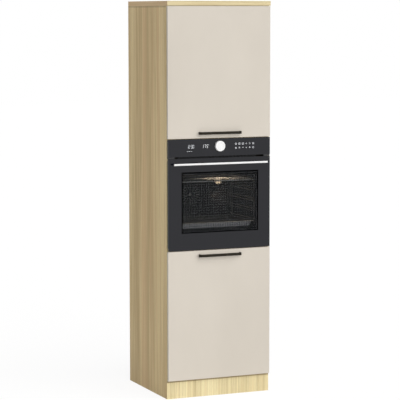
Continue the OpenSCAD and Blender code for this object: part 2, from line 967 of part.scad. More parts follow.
// A row of upright air slots, cut along Y or X
module slots_through_x(x, y_mid, z, slot_h) {
    for (k = [0:air_slots - 1])
        block([x, y_mid + (k - (air_slots - 1) / 2) * 2.5 * air_slot_w - air_slot_w / 2, z],
            [sheet_t + 2, air_slot_w, slot_h]);
}

module slots_through_y(y, x_mid, z, slot_h) {
    for (k = [0:air_slots - 1])
        block([x_mid + (k - (air_slots - 1) / 2) * 2.5 * air_slot_w - air_slot_w / 2, y, z],
            [air_slot_w, sheet_t + 2, slot_h]);
}

module casing_left() {
    slots_y = casing_end - casing_d * 0.22;
    color(STEEL)
        difference() {
            block([-casing_x, casing_y, niche_z], [sheet_t, casing_d, casing_h]);
            slots_through_x(-casing_x - 1, slots_y, cavity_top + 20, pack_floor * 0.66);
            slots_through_x(-casing_x - 1, slots_y, niche_z + 16, pack_floor * 0.45);
        }
}

module casing_right() {
    mirror([1, 0, 0])
        casing_left();
}

module casing_top() {
    slots_l = casing_d * 0.12;
    color(STEEL)
        difference() {
            block([-casing_x + sheet_t, casing_y, casing_top_z - sheet_t],
                [2 * (casing_x - sheet_t), casing_d - sheet_t, sheet_t]);
            for (k = [0:air_slots - 1])
                block([(k - (air_slots - 1) / 2) * 2.5 * air_slot_w - air_slot_w / 2,
                    casing_end - 2 * slots_l, casing_top_z - sheet_t - 1],
                    [air_slot_w, slots_l, sheet_t + 2]);
        }
}

module casing_base() {
    color(STEEL)
        block([-casing_x + sheet_t, casing_y, niche_z],
            [2 * (casing_x - sheet_t), casing_d - sheet_t, sheet_t]);
}

module casing_rear() {
    color(STEEL)
        difference() {
            block([-casing_x + sheet_t, casing_end - sheet_t, niche_z],
                [2 * (casing_x - sheet_t), sheet_t, casing_h]);
            for (x = [-1, 1] * casing_x / 2)
                slots_through_y(casing_end - sheet_t - 1, x, niche_z + pack_floor * 0.4,
                    pack_floor * 0.6);
            slots_through_y(casing_end - sheet_t - 1, casing_x / 2, cavity_top + pack_floor * 0.4,
                pack_floor * 0.8);
        }
}

// The enamelled cavity: a round-cornered tunnel with a rear wall
module oven_cavity() {
    wall_hole_d = fan_shaft_d + 6;
    color(ENAMEL)
        difference() {
            union() {
                upright_plate(casing_y, cavity_d)
                    difference() {
                        cavity_outline(sheet_t);
                        cavity_outline(0);
                    }
                upright_plate(cavity_end, sheet_t)
                    cavity_outline(sheet_t);
            }
            bar_y([0, cavity_end - 1, cavity_mid_z], sheet_t + 2, wall_hole_d);
            for (x = ring_ends())
                bar_y([x, cavity_end - 1, ring_tail_z], sheet_t + 2, element_d + 1);
            for (x = [-1, 1] * grill_end_x)
                bar_y([x, cavity_end - 1, grill_z], sheet_t + 2, element_d + 0.4);
            bar_y(lamp_at - [0, 1, 0], sheet_t + 2, lamp_holder_d + 0.4);
        }
}

module door_gasket() {
    color(BLACK)
        upright_plate(gasket_y, frame_y - gasket_y)
            difference() {
                cavity_outline(gasket_gap + gasket_w);
                cavity_outline(gasket_gap);
            }
}

// ---------- Controls ----------

module control_fascia() {
    color(GLASS)
        difference() {
            block([-oven_x, face_y, fascia_z], [2 * oven_x, front_glass_t, fascia_h]);
            bar_y([0, face_y - 1, knob_z], front_glass_t + 2, knob_shaft_d + 4);
        }
}

// The closed housing of the electronics, narrower where it enters the niche, with a cheek that
// closes each end of the air gap
module control_housing() {
    cheek_z = oven_door_top + 0.8;
    top_z = min(fascia_z + fascia_h - 2, casing_top_z);
    low_z = fascia_z + 2;
    side_x = oven_x - 1.5;
    color(BLACK)
        difference() {
            union() {
                block([-side_x, face_y + front_glass_t, low_z],
                    [2 * side_x, trim_d - front_glass_t, fascia_z + fascia_h - 2 - low_z]);
                block([-casing_x + sheet_t + 2, face_y + front_glass_t, low_z],
                    [2 * (casing_x - sheet_t - 2), frame_y - face_y - front_glass_t, top_z - low_z]);
                both_sides() {
                    block([-side_x, face_y + 0.5, cheek_z],
                        [gap_cheek_w, front_glass_t, fascia_z - 0.2 - cheek_z]);
                    block([-side_x, face_y + front_glass_t, cheek_z],
                        [gap_cheek_w, trim_d - front_glass_t, low_z + 1 - cheek_z]);
                }
            }
            bar_y([0, face_y, knob_z], door_body_d, knob_shaft_d + 2 * knob_fit);
        }
}

// The slotted strip behind the air gap
module air_outlet() {
    slot_count = 22;
    strip_x = cavity_x - 10;
    slot_pitch = 2 * strip_x / slot_count;
    strip_z = oven_door_top - 12;
    strip_h = fascia_z + 2 - strip_z;
    slot_h = air_gap_h + 1;
    color(BLACK)
        difference() {
            block([-strip_x, inner_glass_back + 1, strip_z],
                [2 * strip_x, frame_y - inner_glass_back - 1, strip_h]);
            for (k = [0:slot_count - 1])
                block([-strip_x + k * slot_pitch + 2, inner_glass_back, strip_z + strip_h - slot_h - 2],
                    [slot_pitch - 4, frame_y - inner_glass_back - 2, slot_h]);
        }
}

// A flat dial: a turned disc with a shallow dish and a rounded edge, on its shaft
module control_knob() {
    edge_r = 2.5;
    dish_d = 0.8;
    r = knob_d / 2;
    thick = knob_reach - knob_gap;
    color(WHITE)
        translate([0, face_y, knob_z])
            rotate([90, 0, 0]) {
                difference() {
                    translate([0, 0, knob_gap])
                        rotate_extrude()
                            union() {
                                square([r, thick - edge_r]);
                                square([r - edge_r, thick]);
                                translate([r - edge_r, thick - edge_r])
                                    intersection() {
                                        circle(r = edge_r);
                                        square(edge_r);
                                    }
                            }
                    translate([0, 0, knob_reach - dish_d])
                        cylinder(h = dish_d + 1, r = r - 5);
                    translate([-1, r - 10, knob_reach - 2])
                        cube([2, 12, 3]);
                }
                translate([0, 0, -door_body_d + front_glass_t])
                    cylinder(h = door_body_d - front_glass_t + knob_gap + 1, d = knob_shaft_d);
            }
}

// ---------- Inside the cavity ----------

// A ladder of wires: two uprights with a pair of runners for each level
module side_rack_body() {
    wall_x = -cavity_x;
    upright_x = wall_x + rack_stand + upright_d / 2;
    low_z = cavity_z + level_first - runner_gap;
    high_z = level_z(levels) + 2 * runner_gap;
    upright_y = [rack_y + 16, rack_y + rack_d - 30];
    color(STEEL) {
        for (y = upright_y) {
            wire_z([upright_x, y, low_z], high_z - low_z, upright_d);
            for (z = [low_z + 6, high_z - 6])
                wire_x([wall_x, y, z], upright_d, upright_d - 1);
        }
        for (k = [0:levels - 1], s = [0, 1])
            wire_y([-runner_x, rack_y + 4, level_z(k + 1) + s * runner_gap],
                rack_d - 16, runner_d);
    }
}

module side_rack_left() {
    side_rack_body();
}

module side_rack_right() {
    mirror([1, 0, 0])
        side_rack_body();
}

// The wire shelf lies on a pair of runners
module wire_rack() {
    half = rack_x;
    frame_z = rack_level + rack_frame_d / 2;
    bar_z_mid = frame_z + rack_frame_d / 2 - rack_bar_d / 2 - weld;
    span = 2 * half - rack_frame_d;
    color(STEEL) {
        for (x = [-1, 1] * (half - rack_frame_d / 2))
            bar_y([x, rack_y, frame_z], rack_d - 8, rack_frame_d);
        for (y = [rack_y + rack_frame_d / 2, rack_y + rack_d - 8 - rack_frame_d / 2])
            bar_x([-half + rack_frame_d / 2, y, frame_z], span, rack_frame_d);
        bar_x([-half + rack_frame_d / 2, rack_y + rack_d / 2, frame_z - weld / 2], span, rack_frame_d - 2);
        for (k = [1:rack_bars])
            bar_y([-half + rack_frame_d / 2 + k * span / (rack_bars + 1), rack_y + 2, bar_z_mid],
                rack_d - 12, rack_bar_d);
    }
}

module tray_solid(grow, z0, z1) {
    half = rack_x - tray_rim;
    hull() {
        translate([0, 0, z1 - 0.1])
            tray_slice(half + grow, 0.1);
        translate([0, 0, z0])
            tray_slice(half + grow - tray_slope, 0.1);
    }
}

module tray_slice(half, t) {
    depth = rack_d - 30 - 2 * (rack_x - tray_rim - half);
    corner = 14;
    translate([-half, rack_y + rack_d / 2 - depth / 2, 0])
        linear_extrude(height = t)
            round_rect(2 * half, depth, corner, $fn = 32);
}

// An enamelled tray with sloping walls and a flat rim that lies on the runners
module baking_tray() {
    rim_z = tray_level;
    depth = rack_d - 30 + 2 * tray_rim;
    half = rack_x;
    color(ENAMEL)
        difference() {
            union() {
                tray_solid(0, rim_z - tray_h, rim_z + tray_t);
                translate([-half, rack_y + rack_d / 2 - depth / 2, rim_z])
                    cube([2 * half, depth, tray_t]);
            }
            tray_solid(-tray_t, rim_z - tray_h + tray_t, rim_z + tray_t + 0.2);
        }
}

// The cover over the fan: round-cornered, slotted in the middle and along both sides
module fan_cover() {
    cover_r = 20;
    front = cavity_end - fan_cover_d;
    rays = 20;
    color(ENAMEL)
        difference() {
            upright_plate(front, fan_cover_d)
                fan_cover_outline(0, cover_r);
            upright_plate(front + sheet_t, fan_cover_d)
                fan_cover_outline(-sheet_t, cover_r);
            for (k = [0:rays - 1])
                translate([0, front, cavity_mid_z])
                    rotate([0, k * 360 / rays, 0])
                        block([-2, -1, k % 2 == 0 ? 22 : 34], [4, sheet_t + 2, k % 2 == 0 ? 34 : 22]);
            for (s = [-1, 1], k = [0:8])
                block([s * (fan_cover_w / 2 - 22) - 5, front - 1, cavity_mid_z - 100 + k * 24],
                    [10, sheet_t + 2, 8]);
            bar_y([0, front - 1, cavity_mid_z], sheet_t + 2, 16);
        }
}

module fan_cover_outline(grow, r) {
    translate([-fan_cover_w / 2 - grow, cavity_mid_z - fan_cover_h / 2 - grow])
        round_rect(fan_cover_w + 2 * grow, fan_cover_h + 2 * grow, r + grow);
}

// A wheel of raked blades on a disc, with its hub and shaft
module fan_wheel() {
    disc_t = 1.5;
    hub_d = 34;
    blade_rake = 24;
    blade_t = 1.5;
    shaft_end = fan_motor_y + 12;
    color(STEEL)
        translate([0, 0, cavity_mid_z]) {
            bar_y([0, fan_y + fan_blade_d, 0], disc_t, fan_d);
            bar_y([0, fan_y + 3, 0], fan_blade_d - 3, hub_d);
            bar_y([0, fan_y, 0], shaft_end - fan_y, fan_shaft_d);
            for (k = [0:fan_blades - 1])
                rotate([0, k * 360 / fan_blades, 0])
                    translate([hub_d / 2 - 3, fan_y, 0])
                        rotate([0, blade_rake, 0])
                            block([0, 0, -blade_t / 2], [fan_d / 2 - hub_d / 2 - 1, fan_blade_d + 0.5, blade_t]);
        }
}

// The motor stands behind the cavity on a bracket
fan_motor_y = cavity_end + sheet_t + 18;
module fan_motor() {
    body_d = 76;
    body_l = 34;
    bracket_w = 150;
    bracket_h = 40;
    color(ZINC)
        difference() {
            union() {
                bar_y([0, fan_motor_y, cavity_mid_z], body_l, body_d);
                block([-bracket_w / 2, fan_motor_y, cavity_mid_z - bracket_h / 2],
                    [bracket_w, 2, bracket_h]);
                for (x = [-bracket_w / 2, bracket_w / 2 - 2])
                    block([x, cavity_end + sheet_t, cavity_mid_z - bracket_h / 2],
                        [2, fan_motor_y - cavity_end - sheet_t + 2, bracket_h]);
            }
            bar_y([0, fan_motor_y - 1, cavity_mid_z], 15, fan_shaft_d + 2 * pin_fit);
        }
}

function ring_ends() = [-1, 1] * ring_tail_gap / 2;

ring_tail_z = cavity_mid_z - sqrt(pow(ring_r, 2) - pow(ring_ends()[1], 2));

// A ring of tube round the fan, with two tails through the rear wall
module ring_element() {
    ring_y = cavity_end - 18;
    tail_x = ring_ends()[1];
    end_angle = asin((tail_x - element_d / 4) / ring_r);
    color(ZINC) {
        translate([0, ring_y, cavity_mid_z])
            rotate([90, 0, 0])
                rotate(-90 + end_angle)
                    rotate_extrude(angle = 360 - 2 * end_angle)
                        translate([ring_r, 0])
                            circle(d = element_d);
        for (x = ring_ends())
            bar_y([x, ring_y - element_d / 2 - 0.3, ring_tail_z],
                cavity_end + sheet_t + 10 - ring_y + element_d / 2, element_d + 0.6);
    }
}

grill_end_x = cavity_x - grill_side;
grill_z = cavity_top - grill_drop;

// The grill element snakes under the ceiling and leaves through the rear wall
module grill_element() {
    front_y0 = casing_y + cavity_d * 0.15;
    fold_y = cavity_end - cavity_d * 0.225;
    rods = grill_end_x * [-1, -0.6, -0.2, 0.2, 0.6, 1];
    r = element_d / 2;
    color(ZINC) {
        for (i = [0:5]) {
            end_y = i == 0 || i == 5 ? cavity_end + sheet_t + 10 : fold_y;
            bar_y([rods[i], front_y0, grill_z], end_y - front_y0, element_d);
        }
        for (i = [0, 2, 4])
            bar_x([rods[i], front_y0, grill_z], rods[i + 1] - rods[i], element_d);
        for (i = [1, 3])
            bar_x([rods[i], fold_y, grill_z], rods[i + 1] - rods[i], element_d);
        for (i = [0:5])
            translate([rods[i], front_y0, grill_z])
                sphere(r = r);
        for (i = [1:4])
            translate([rods[i], fold_y, grill_z])
                sphere(r = r);
        for (x = [rods[1], rods[4]])
            block([x - 4, fold_y - cavity_d / 10, grill_z], [8, 2, cavity_top - grill_z]);
    }
}

// The lamp: a domed glass in the cavity and its holder behind the wall
module oven_lamp() {
    dome_h = 9;
    rim_t = 3;
    holder_l = 36;
    color(WHITE)
        translate(lamp_at)
            rotate([90, 0, 0]) {
                cylinder(h = rim_t, d = lamp_d);
                translate([0, 0, rim_t])
                    rotate_extrude()
                        intersection() {
                            translate([0, dome_h - lamp_dome_r(dome_h)])
                                circle(r = lamp_dome_r(dome_h));
                            square([lamp_d / 2 - 2, dome_h]);
                        }
                translate([0, 0, -holder_l])
                    cylinder(h = holder_l, d = lamp_holder_d);
            }
}

function lamp_dome_r(h) = (pow(lamp_d / 2 - 2, 2) + h * h) / (2 * h);

// ---------- Rear of the oven ----------

// The supply cable enters through the box's underside
module terminal_box() {
    x0 = -casing_x + terminal_side;
    z0 = casing_top_z - terminal_h - terminal_drop;
    color(BLACK)
        difference() {
            block([x0, casing_end, z0], [terminal_w, terminal_d, terminal_h]);
            block([x0 + terminal_wall, casing_end + terminal_wall, z0 + terminal_wall],
                [terminal_w - 2 * terminal_wall, terminal_d - 2 * terminal_wall,
                    terminal_h - 2 * terminal_wall]);
            bar_z([x0 + terminal_w / 2, casing_end + terminal_d / 2, z0 - 1],
                terminal_wall + 2, cable_hole_d);
        }
}

// ---------- Oven door and its hinges ----------

// The fixed arm: a flange on the front plate and an eye round the door's pin
module oven_hinge_arms() {
    flange_h = 40;
    flange_w = 16;
    flange_t = 2;
    eye_r = oven_eye_d / 2;
    color(ZINC)
        both_sides()
            difference() {
                union() {
                    bar_x([-hinge_arm_x, oven_pin_y, oven_pin_z], oven_arm_t, oven_eye_d);
                    block([-hinge_arm_x, oven_pin_y, oven_pin_z - eye_r],
                        [oven_arm_t, frame_y - oven_pin_y, oven_eye_d]);
                    block([-hinge_arm_x, frame_y - flange_t, niche_z + 1],
                        [flange_w, flange_t, flange_h]);
                }
                bar_x([-hinge_arm_x - 1, oven_pin_y, oven_pin_z], oven_arm_t + 2,
                    oven_pin_d + 2 * pin_fit);
            }
}

// The door's fork: two cheeks under the column with the pin fixed in them
module oven_door_hinges() {
    eye_r = oven_eye_d / 2;
    low_x = -hinge_arm_x - cheek_gap - cheek_t;
    high_x = -hinge_arm_x + oven_arm_t + cheek_gap;
    color(ZINC)
        both_sides() {
            for (x = [low_x, high_x]) {
                bar_x([x, oven_pin_y, oven_pin_z], cheek_t, oven_eye_d);
                block([x, oven_pin_y - eye_r, oven_pin_z], [cheek_t, oven_eye_d, column_z - oven_pin_z]);
            }
            bar_x([low_x, oven_pin_y, oven_pin_z], high_x + cheek_t - low_x, oven_pin_d);
        }
}

module oven_screws() {
    head_d = 8;
    head_h = 1.5;
    color(BLACK)
        both_sides()
            for (z = lip_screws) {
                bar_y([-lip_screw_x, front_y - sheet_t - head_h, z], head_h, head_d);
                bar_y([-lip_screw_x, front_y - sheet_t, z], lip_screw_l, lip_screw_d);
            }
}

module oven_door_glass() {
    color(GLASS)
        difference() {
            block([-oven_x, face_y, oven_z], [2 * oven_x, front_glass_t, oven_door_h]);
            for (x = post_xs())
                bar_y([x, face_y - 1, oven_handle_z], front_glass_t + 2, stud_d);
        }
}

function post_xs() = [-1, 1] * (column_x - post_gap);

module oven_door_inner_glass() {
    side = 6;
    color(GLASS)
        block([-casing_x + side, face_y + door_body_d, column_z + side],
            [2 * (casing_x - side), inner_glass_t, column_top - column_z - 2 * side]);
}

// The two upright profiles, stepped so that they close the sides and enter the niche
module oven_door_columns() {
    wall = 2;
    outer_x = oven_x - 1.5;
    body_x = casing_x - sheet_t - 0.5;
    color(BLACK)
        both_sides()
            translate([0, 0, column_z])
                linear_extrude(height = column_top - column_z)
                    difference() {
                        union() {
                            translate([-outer_x, face_y + front_glass_t])
                                square([outer_x - column_x, trim_d - front_glass_t]);
                            translate([-body_x, face_y + front_glass_t])
                                square([body_x - column_x, door_body_d - front_glass_t]);
                        }
                        translate([-body_x + wall, face_y + front_glass_t + wall])
                            square([body_x - column_x - 2 * wall,
                                door_body_d - front_glass_t - 2 * wall]);
                    }
}

// The two level profiles; the upper one has air slots in its top and room for the posts' nuts
module oven_door_rails() {
    wall = 2;
    rail_h = 20;
    slot_count = 16;
    slot_pitch = 2 * column_x / slot_count;
    body_y = face_y + front_glass_t;
    body_d = door_body_d - front_glass_t;
    low_z = oven_z + 3.5;
    color(BLACK) {
        difference() {
            block([-column_x, body_y, column_top - rail_h], [2 * column_x, body_d, rail_h]);
            block([-column_x - 1, body_y + wall, column_top - rail_h - 1],
                [2 * column_x + 2, body_d - 2 * wall, rail_h + 1 - wall]);
            for (k = [0:slot_count - 1])
                block([-column_x + k * slot_pitch + slot_pitch / 6, body_y + body_d / 2 - 3,
                    column_top - wall - 1], [slot_pitch * 2 / 3, 6, wall + 2]);
            for (x = post_xs())
                bar_y([x, body_y - 1, oven_handle_z], wall + 3, 2 * stud_d + 3);
        }
        difference() {
            block([-column_x, body_y, low_z], [2 * column_x, body_d, rail_h]);
            block([-column_x - 1, body_y + wall, low_z + wall],
                [2 * column_x + 2, body_d - 2 * wall, rail_h]);
        }
    }
}

// A flat bar with rounded front edges and rounded ends
module oven_handle() {
    edge_r = 2;
    half = oven_handle_l / 2;
    color(WHITE)
        intersection() {
            translate([-half, face_y - oven_handle_reach, oven_handle_z - oven_handle_h / 2])
                linear_extrude(height = oven_handle_h)
                    round_rect(oven_handle_l, oven_handle_t, 3);
            translate([-half, face_y - oven_handle_reach, oven_handle_z - oven_handle_h / 2])
                rotate([90, 0, 90])
                    linear_extrude(height = oven_handle_l)
                        bow_outline_side(oven_handle_t, oven_handle_h, edge_r);
        }
}

// Each post stands on the glass, and its stud and nut hold it from behind
module oven_handle_posts() {
    nut_h = 4;
    post_y = face_y - oven_handle_reach + oven_handle_t;
    color(STEEL)
        for (x = post_xs()) {
            bar_y([x, post_y, oven_handle_z], face_y - post_y, post_d);
            bar_y([x, face_y - 1, oven_handle_z], front_glass_t + nut_h + 1, stud_d);
            bar_y([x, face_y + front_glass_t, oven_handle_z], nut_h, 2 * stud_d);
        }
}

side_panel_left();
side_panel_right();
top_panel();
bottom_panel();
oven_shelf();
dividing_shelf();
upper_shelf();
lower_shelf();
back_panel_upper();
back_panel_lower();
wall_rail();
plinth_board();
shelf_pins();
cam_fittings();
upper_door();
lower_door();
upper_handle();
lower_handle();
upper_handle_screws();
lower_handle_screws();
upper_hinge_cups();
lower_hinge_cups();
hinge_arms();
hinge_plates();
upper_arm_links();
upper_cup_links();
lower_arm_links();
lower_cup_links();
front_frame();
casing_left();
casing_right();
casing_top();
casing_base();
casing_rear();
oven_cavity();
door_gasket();
control_fascia();
control_housing();
air_outlet();
side_rack_left();
side_rack_right();
wire_rack();
baking_tray();
fan_cover();
fan_wheel();
fan_motor();
ring_element();
grill_element();
oven_lamp();
terminal_box();
oven_hinge_arms();
oven_screws();
oven_door_glass();
oven_door_inner_glass();
oven_door_columns();
oven_door_rails();
oven_door_hinges();
oven_handle();
oven_handle_posts();
control_knob();
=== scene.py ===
"""Looks for the tall oven housing unit.

Every board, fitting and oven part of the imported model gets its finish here. Screw heads, door
buffers and printed marks, which the solids leave out, are added.

Metres. X runs across the front, Y from the fronts to the wall, Z up from the floor.
"""

import logging
import math
from dataclasses import dataclass
from enum import Enum
from functools import cached_property
from typing import Any, ClassVar, Iterable, Sequence

import bmesh
import bpy
from mathutils import Matrix, Vector


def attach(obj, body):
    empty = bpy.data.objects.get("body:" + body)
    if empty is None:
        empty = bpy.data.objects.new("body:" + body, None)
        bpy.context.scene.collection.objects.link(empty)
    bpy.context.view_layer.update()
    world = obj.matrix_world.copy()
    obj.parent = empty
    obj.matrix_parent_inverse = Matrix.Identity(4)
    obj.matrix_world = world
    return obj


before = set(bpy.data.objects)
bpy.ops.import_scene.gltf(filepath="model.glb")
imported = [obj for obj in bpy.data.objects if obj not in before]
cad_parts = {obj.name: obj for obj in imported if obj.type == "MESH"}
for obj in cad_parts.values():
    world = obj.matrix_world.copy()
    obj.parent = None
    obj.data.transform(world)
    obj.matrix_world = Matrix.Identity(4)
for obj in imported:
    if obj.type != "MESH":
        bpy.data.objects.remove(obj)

LOG = logging.getLogger("oven_unit")
MM = 0.001
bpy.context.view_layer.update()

Triple = tuple[float, float, float]
Colour = Triple
Point = tuple[float, float]


def srgb(red: float, green: float, blue: float) -> Colour:
    """Turn a colour as a screen shows it into a linear one.

    Args:
        red: Red from 0 to 255.
        green: Green from 0 to 255.
        blue: Blue from 0 to 255.

    Returns:
        The three linear parts, from 0 to 1.
    """
    parts = (red / 255, green / 255, blue / 255)
    return tuple(c / 12.92 if c <= 0.04045 else ((c + 0.055) / 1.055) ** 2.4 for c in parts)


BULB_LIGHT: Colour = (1.0, 0.80, 0.56)


# ---------- Shader sheets ----------


class Value:
    """A number on a shader sheet that can stand in a Python expression."""

    def __init__(self, sheet: "Sheet", socket: bpy.types.NodeSocket) -> None:
        """Wrap one output socket.

        Args:
            sheet: The sheet that the socket is on.
            socket: The output socket.
        """
        self.sheet = sheet
        self.socket = socket

    def _do(self, operation: str, *operands: "Number") -> "Value":
        """Add one Math node.

        Args:
            operation: The Math node's operation.
            operands: Its values, in order.

        Returns:
            The node's result.
        """
        inputs = dict(enumerate(operands))
        node = self.sheet.node("ShaderNodeMath", {"operation": operation}, inputs)
        return Value(self.sheet, node.outputs[0])

    def __add__(self, other: "Number") -> "Value":
        """Return self + other."""
        return self._do("ADD", self, other)

    def __sub__(self, other: "Number") -> "Value":
        """Return self - other."""
        return self._do("SUBTRACT", self, other)

    def __rsub__(self, other: "Number") -> "Value":
        """Return other - self."""
        return self._do("SUBTRACT", other, self)

    def __mul__(self, other: "Number") -> "Value":
        """Return self * other."""
        return self._do("MULTIPLY", self, other)

    def __truediv__(self, other: "Number") -> "Value":
        """Return self / other."""
        return self._do("DIVIDE", self, other)

    def __rtruediv__(self, other: "Number") -> "Value":
        """Return other / self."""
        return self._do("DIVIDE", other, self)

    def __pow__(self, other: "Number") -> "Value":
        """Return self to the power of other."""
        return self._do("POWER", self, other)

    def __rpow__(self, other: "Number") -> "Value":
        """Return other to the power of self."""
        return self._do("POWER", other, self)

    def __lt__(self, other: "Number") -> "Value":
        """Return 1 where self is below other."""
        return self._do("LESS_THAN", self, other)

    def __gt__(self, other: "Number") -> "Value":
        """Return 1 where self is above other."""
        return self._do("GREATER_THAN", self, other)

    def __abs__(self) -> "Value":
        """Return the size of self without its sign."""
        return self._do("ABSOLUTE", self)

    __radd__ = __add__
    __rmul__ = __mul__

    def largest(self, other: "Number") -> "Value":
        """Return the larger of self and other."""
        return self._do("MAXIMUM", self, other)

    def zigzag(self, pitch: float) -> "Value":
        """Return 0 in the middle of each pitch and half the pitch at its ends."""
        return abs(self._do("WRAP", self, pitch, 0.0) - pitch / 2)

    def ramp(self, low: float, high: float) -> "Value":
        """Turn self into a soft step.

        Args:
            low: Where the step starts.
            high: Where it ends.

        Returns:
            0 below low, 1 above high and a smooth rise between.
        """
        inputs = {"Value": self, "From Min": low, "From Max": high}
        node = self.sheet.node("ShaderNodeMapRange", {"interpolation_type": "SMOOTHSTEP"}, inputs)
        return Value(self.sheet, node.outputs["Result"])


Number = Value | float


class Mixed(Enum):
    """What a Mix node mixes, with the numbers of its two inputs and its output."""

    VECTOR = (4, 5, 1)
    RGBA = (6, 7, 2)


class Sheet:
    """The shader sheet of one material or of the world."""

    def __init__(self, owner: bpy.types.Material | bpy.types.World) -> None:
        """Start an empty sheet.

        Args:
            owner: The material or world that the sheet belongs to.
        """
        owner.use_nodes = True
        self.tree = owner.node_tree
        self.tree.nodes.clear()

    @cached_property
    def place(self) -> bpy.types.Node:
        """Return the node that knows places and directions on the piece."""
        return self.node("ShaderNodeTexCoord")

    @cached_property
    def spot(self) -> bpy.types.NodeSocket:
        """Return the place that noises are laid by, until turn_where changes it."""
        return self.place.outputs["Object"]

    def node(
        self,
        kind: str,
        settings: dict[str, Any] | None = None,
        inputs: dict[str | int, Any] | None = None,
    ) -> bpy.types.Node:
        """Add any node.

        Args:
            kind: The node's type.
            settings: What is set first, such as an operation.
            inputs: Values or links of its sockets, by name or number.

        Returns:
            The node.
        """
        node = self.tree.nodes.new(kind)
        for key, setting in (settings or {}).items():
            setattr(node, key, setting)
        for key, given in (inputs or {}).items():
            self.feed(node.inputs[key], given)
        return node

    def feed(self, socket: bpy.types.NodeSocket, given: Any) -> None:
        """Set a socket, or link to it.

        Args:
            socket: The input socket.
            given: A Value, an output socket, a number, a colour or a vector.
        """
        if isinstance(given, Value):
            self.tree.links.new(given.socket, socket)
        elif isinstance(given, bpy.types.NodeSocket):
            self.tree.links.new(given, socket)
        elif socket.type == "RGBA":
            socket.default_value = (*given, 1.0)
        else:
            socket.default_value = given

    def part(self, vector: bpy.types.NodeSocket, axis: int) -> Value:
        """Return the part of a vector along axis 0, 1 or 2."""
        return Value(self, self.node("ShaderNodeSeparateXYZ", None, {0: vector}).outputs[axis])

    def along(self, axis: int) -> Value:
        """Return the place on the piece along axis 0, 1 or 2, in metres."""
        return self.part(self.place.outputs["Object"], axis)

    def facing(self, axis: int) -> Value:
        """Return the piece's own surface direction along axis 0, 1 or 2."""
        return self.part(self.place.outputs["Normal"], axis)

    def looks(self, axis: int, side: int) -> Value:
        """Return 1 where the surface looks along an axis, to its side -1 or 1."""
        return self.facing(axis) * side > 0.5

    def turn_where(self, there: Value) -> None:
        """Swap the first two axes of all later noises on part of the piece.

        Args:
            there: 1 where they are swapped, as on an edge band whose grain runs the other way.
        """
        parts = self.node("ShaderNodeSeparateXYZ", None, {0: self.spot}).outputs
        swapped = self.node("ShaderNodeCombineXYZ", None, {0: parts[1], 1: parts[0], 2: parts[2]})
        self.spot = self.blend(self.spot, swapped.outputs[0], there, Mixed.VECTOR)

    def noise(
        self, scale: float | Triple, detail: float, rough: float = 0.5, bend: float = 0.0,
    ) -> Value:
        """Add a noise.

        Args:
            scale: Its waves to a metre, alike or along each axis.
            detail: How many finer layers it has.
            rough: How strong they are.
            bend: How much it is distorted.

        Returns:
            The noise, about 0.5 in the middle.
        """
        scales = scale if isinstance(scale, tuple) else (scale,) * 3
        inputs = {0: self.spot, 1: scales}
        stretched = self.node("ShaderNodeVectorMath", {"operation": "MULTIPLY"}, inputs)
        inputs = {
            "Vector": stretched.outputs[0], "Scale": 1.0, "Detail": detail, "Roughness": rough,
            "Distortion": bend,
        }
        return Value(self, self.node("ShaderNodeTexNoise", None, inputs).outputs["Fac"])

    def cells(self, scale: float) -> bpy.types.Node:
        """Return a cell texture of scale cells to a metre."""
        inputs = {"Vector": self.place.outputs["Object"], "Scale": scale}
        return self.node("ShaderNodeTexVoronoi", None, inputs)

    def dots(self, scale: float, radius: float) -> Value:
        """Return 1 in a dot of each cell, whose radius is a share of the cell."""
        return Value(self, self.cells(scale).outputs["Distance"]) < radius

    def blend(
        self, first: Any, second: Any, share: Number, what: Mixed = Mixed.RGBA,
    ) -> bpy.types.NodeSocket:
        """Mix two colours or vectors.

        Args:
            first: The one at share 0.
            second: The one at share 1.
            share: How much of the second there is.
            what: Whether they are colours or vectors.

        Returns:
            The mixed colour or vector.
        """
        one, two, result = what.value
        inputs = {0: share, one: first, two: second}
        return self.node("ShaderNodeMix", {"data_type": what.name}, inputs).outputs[result]

    def bump(self, height: Value, depth: float) -> bpy.types.NodeSocket:
        """Return the surface direction bent by height, whose full range is depth metres."""
        inputs = {"Height": height, "Distance": depth, "Strength": 1.0}
        return self.node("ShaderNodeBump", None, inputs).outputs["Normal"]

    def seen(self) -> Value:
        """Tell rays that show the surface from those that only carry light.

        Returns:
            1 for a ray from the camera, a glossy surface or glass, and 0 for any other.
        """
        path = self.node("ShaderNodeLightPath").outputs
        kinds = ("Camera", "Glossy", "Transmission")
        camera, gloss, glass = (Value(self, path[f"Is {kind} Ray"]) for kind in kinds)
        return camera.largest(gloss).largest(glass)

    def finish(self, **inputs: Any) -> None:
        """Add the surface shader and close the sheet.

        Args:
            inputs: The shader's sockets, with _ for each space in a name.
        """
        named = {key.replace("_", " "): given for key, given in inputs.items()}
        shader = self.node("ShaderNodeBsdfPrincipled", None, named)
        self.node("ShaderNodeOutputMaterial", None, {"Surface": shader.outputs[0]})

    def finish_mixed(
        self, first: bpy.types.Node, second: bpy.types.Node, share: Value, output: str,
    ) -> None:
        """Mix two shaders and close the sheet.

        Args:
            first: The shader at share 0.
            second: The shader at share 1.
            share: How much of the second there is.
            output: The type of the sheet's output node.
        """
        inputs = {0: share, 1: first.outputs[0], 2: second.outputs[0]}
        mixed = self.node("ShaderNodeMixShader", None, inputs)
        self.node(output, None, {"Surface": mixed.outputs[0]})


# ---------- Finishes ----------


class Grain(Enum):
    """The way that a board's grain or a metal's drawing lines run."""

    ACROSS = 0
    DEEP = 1
    UP = 2

    def stretch(self, cross: float, run: float) -> Triple:
        """Return a noise's scale: cross over the grain and run along it."""
        return tuple(run if axis == self.value else cross for axis in range(3))


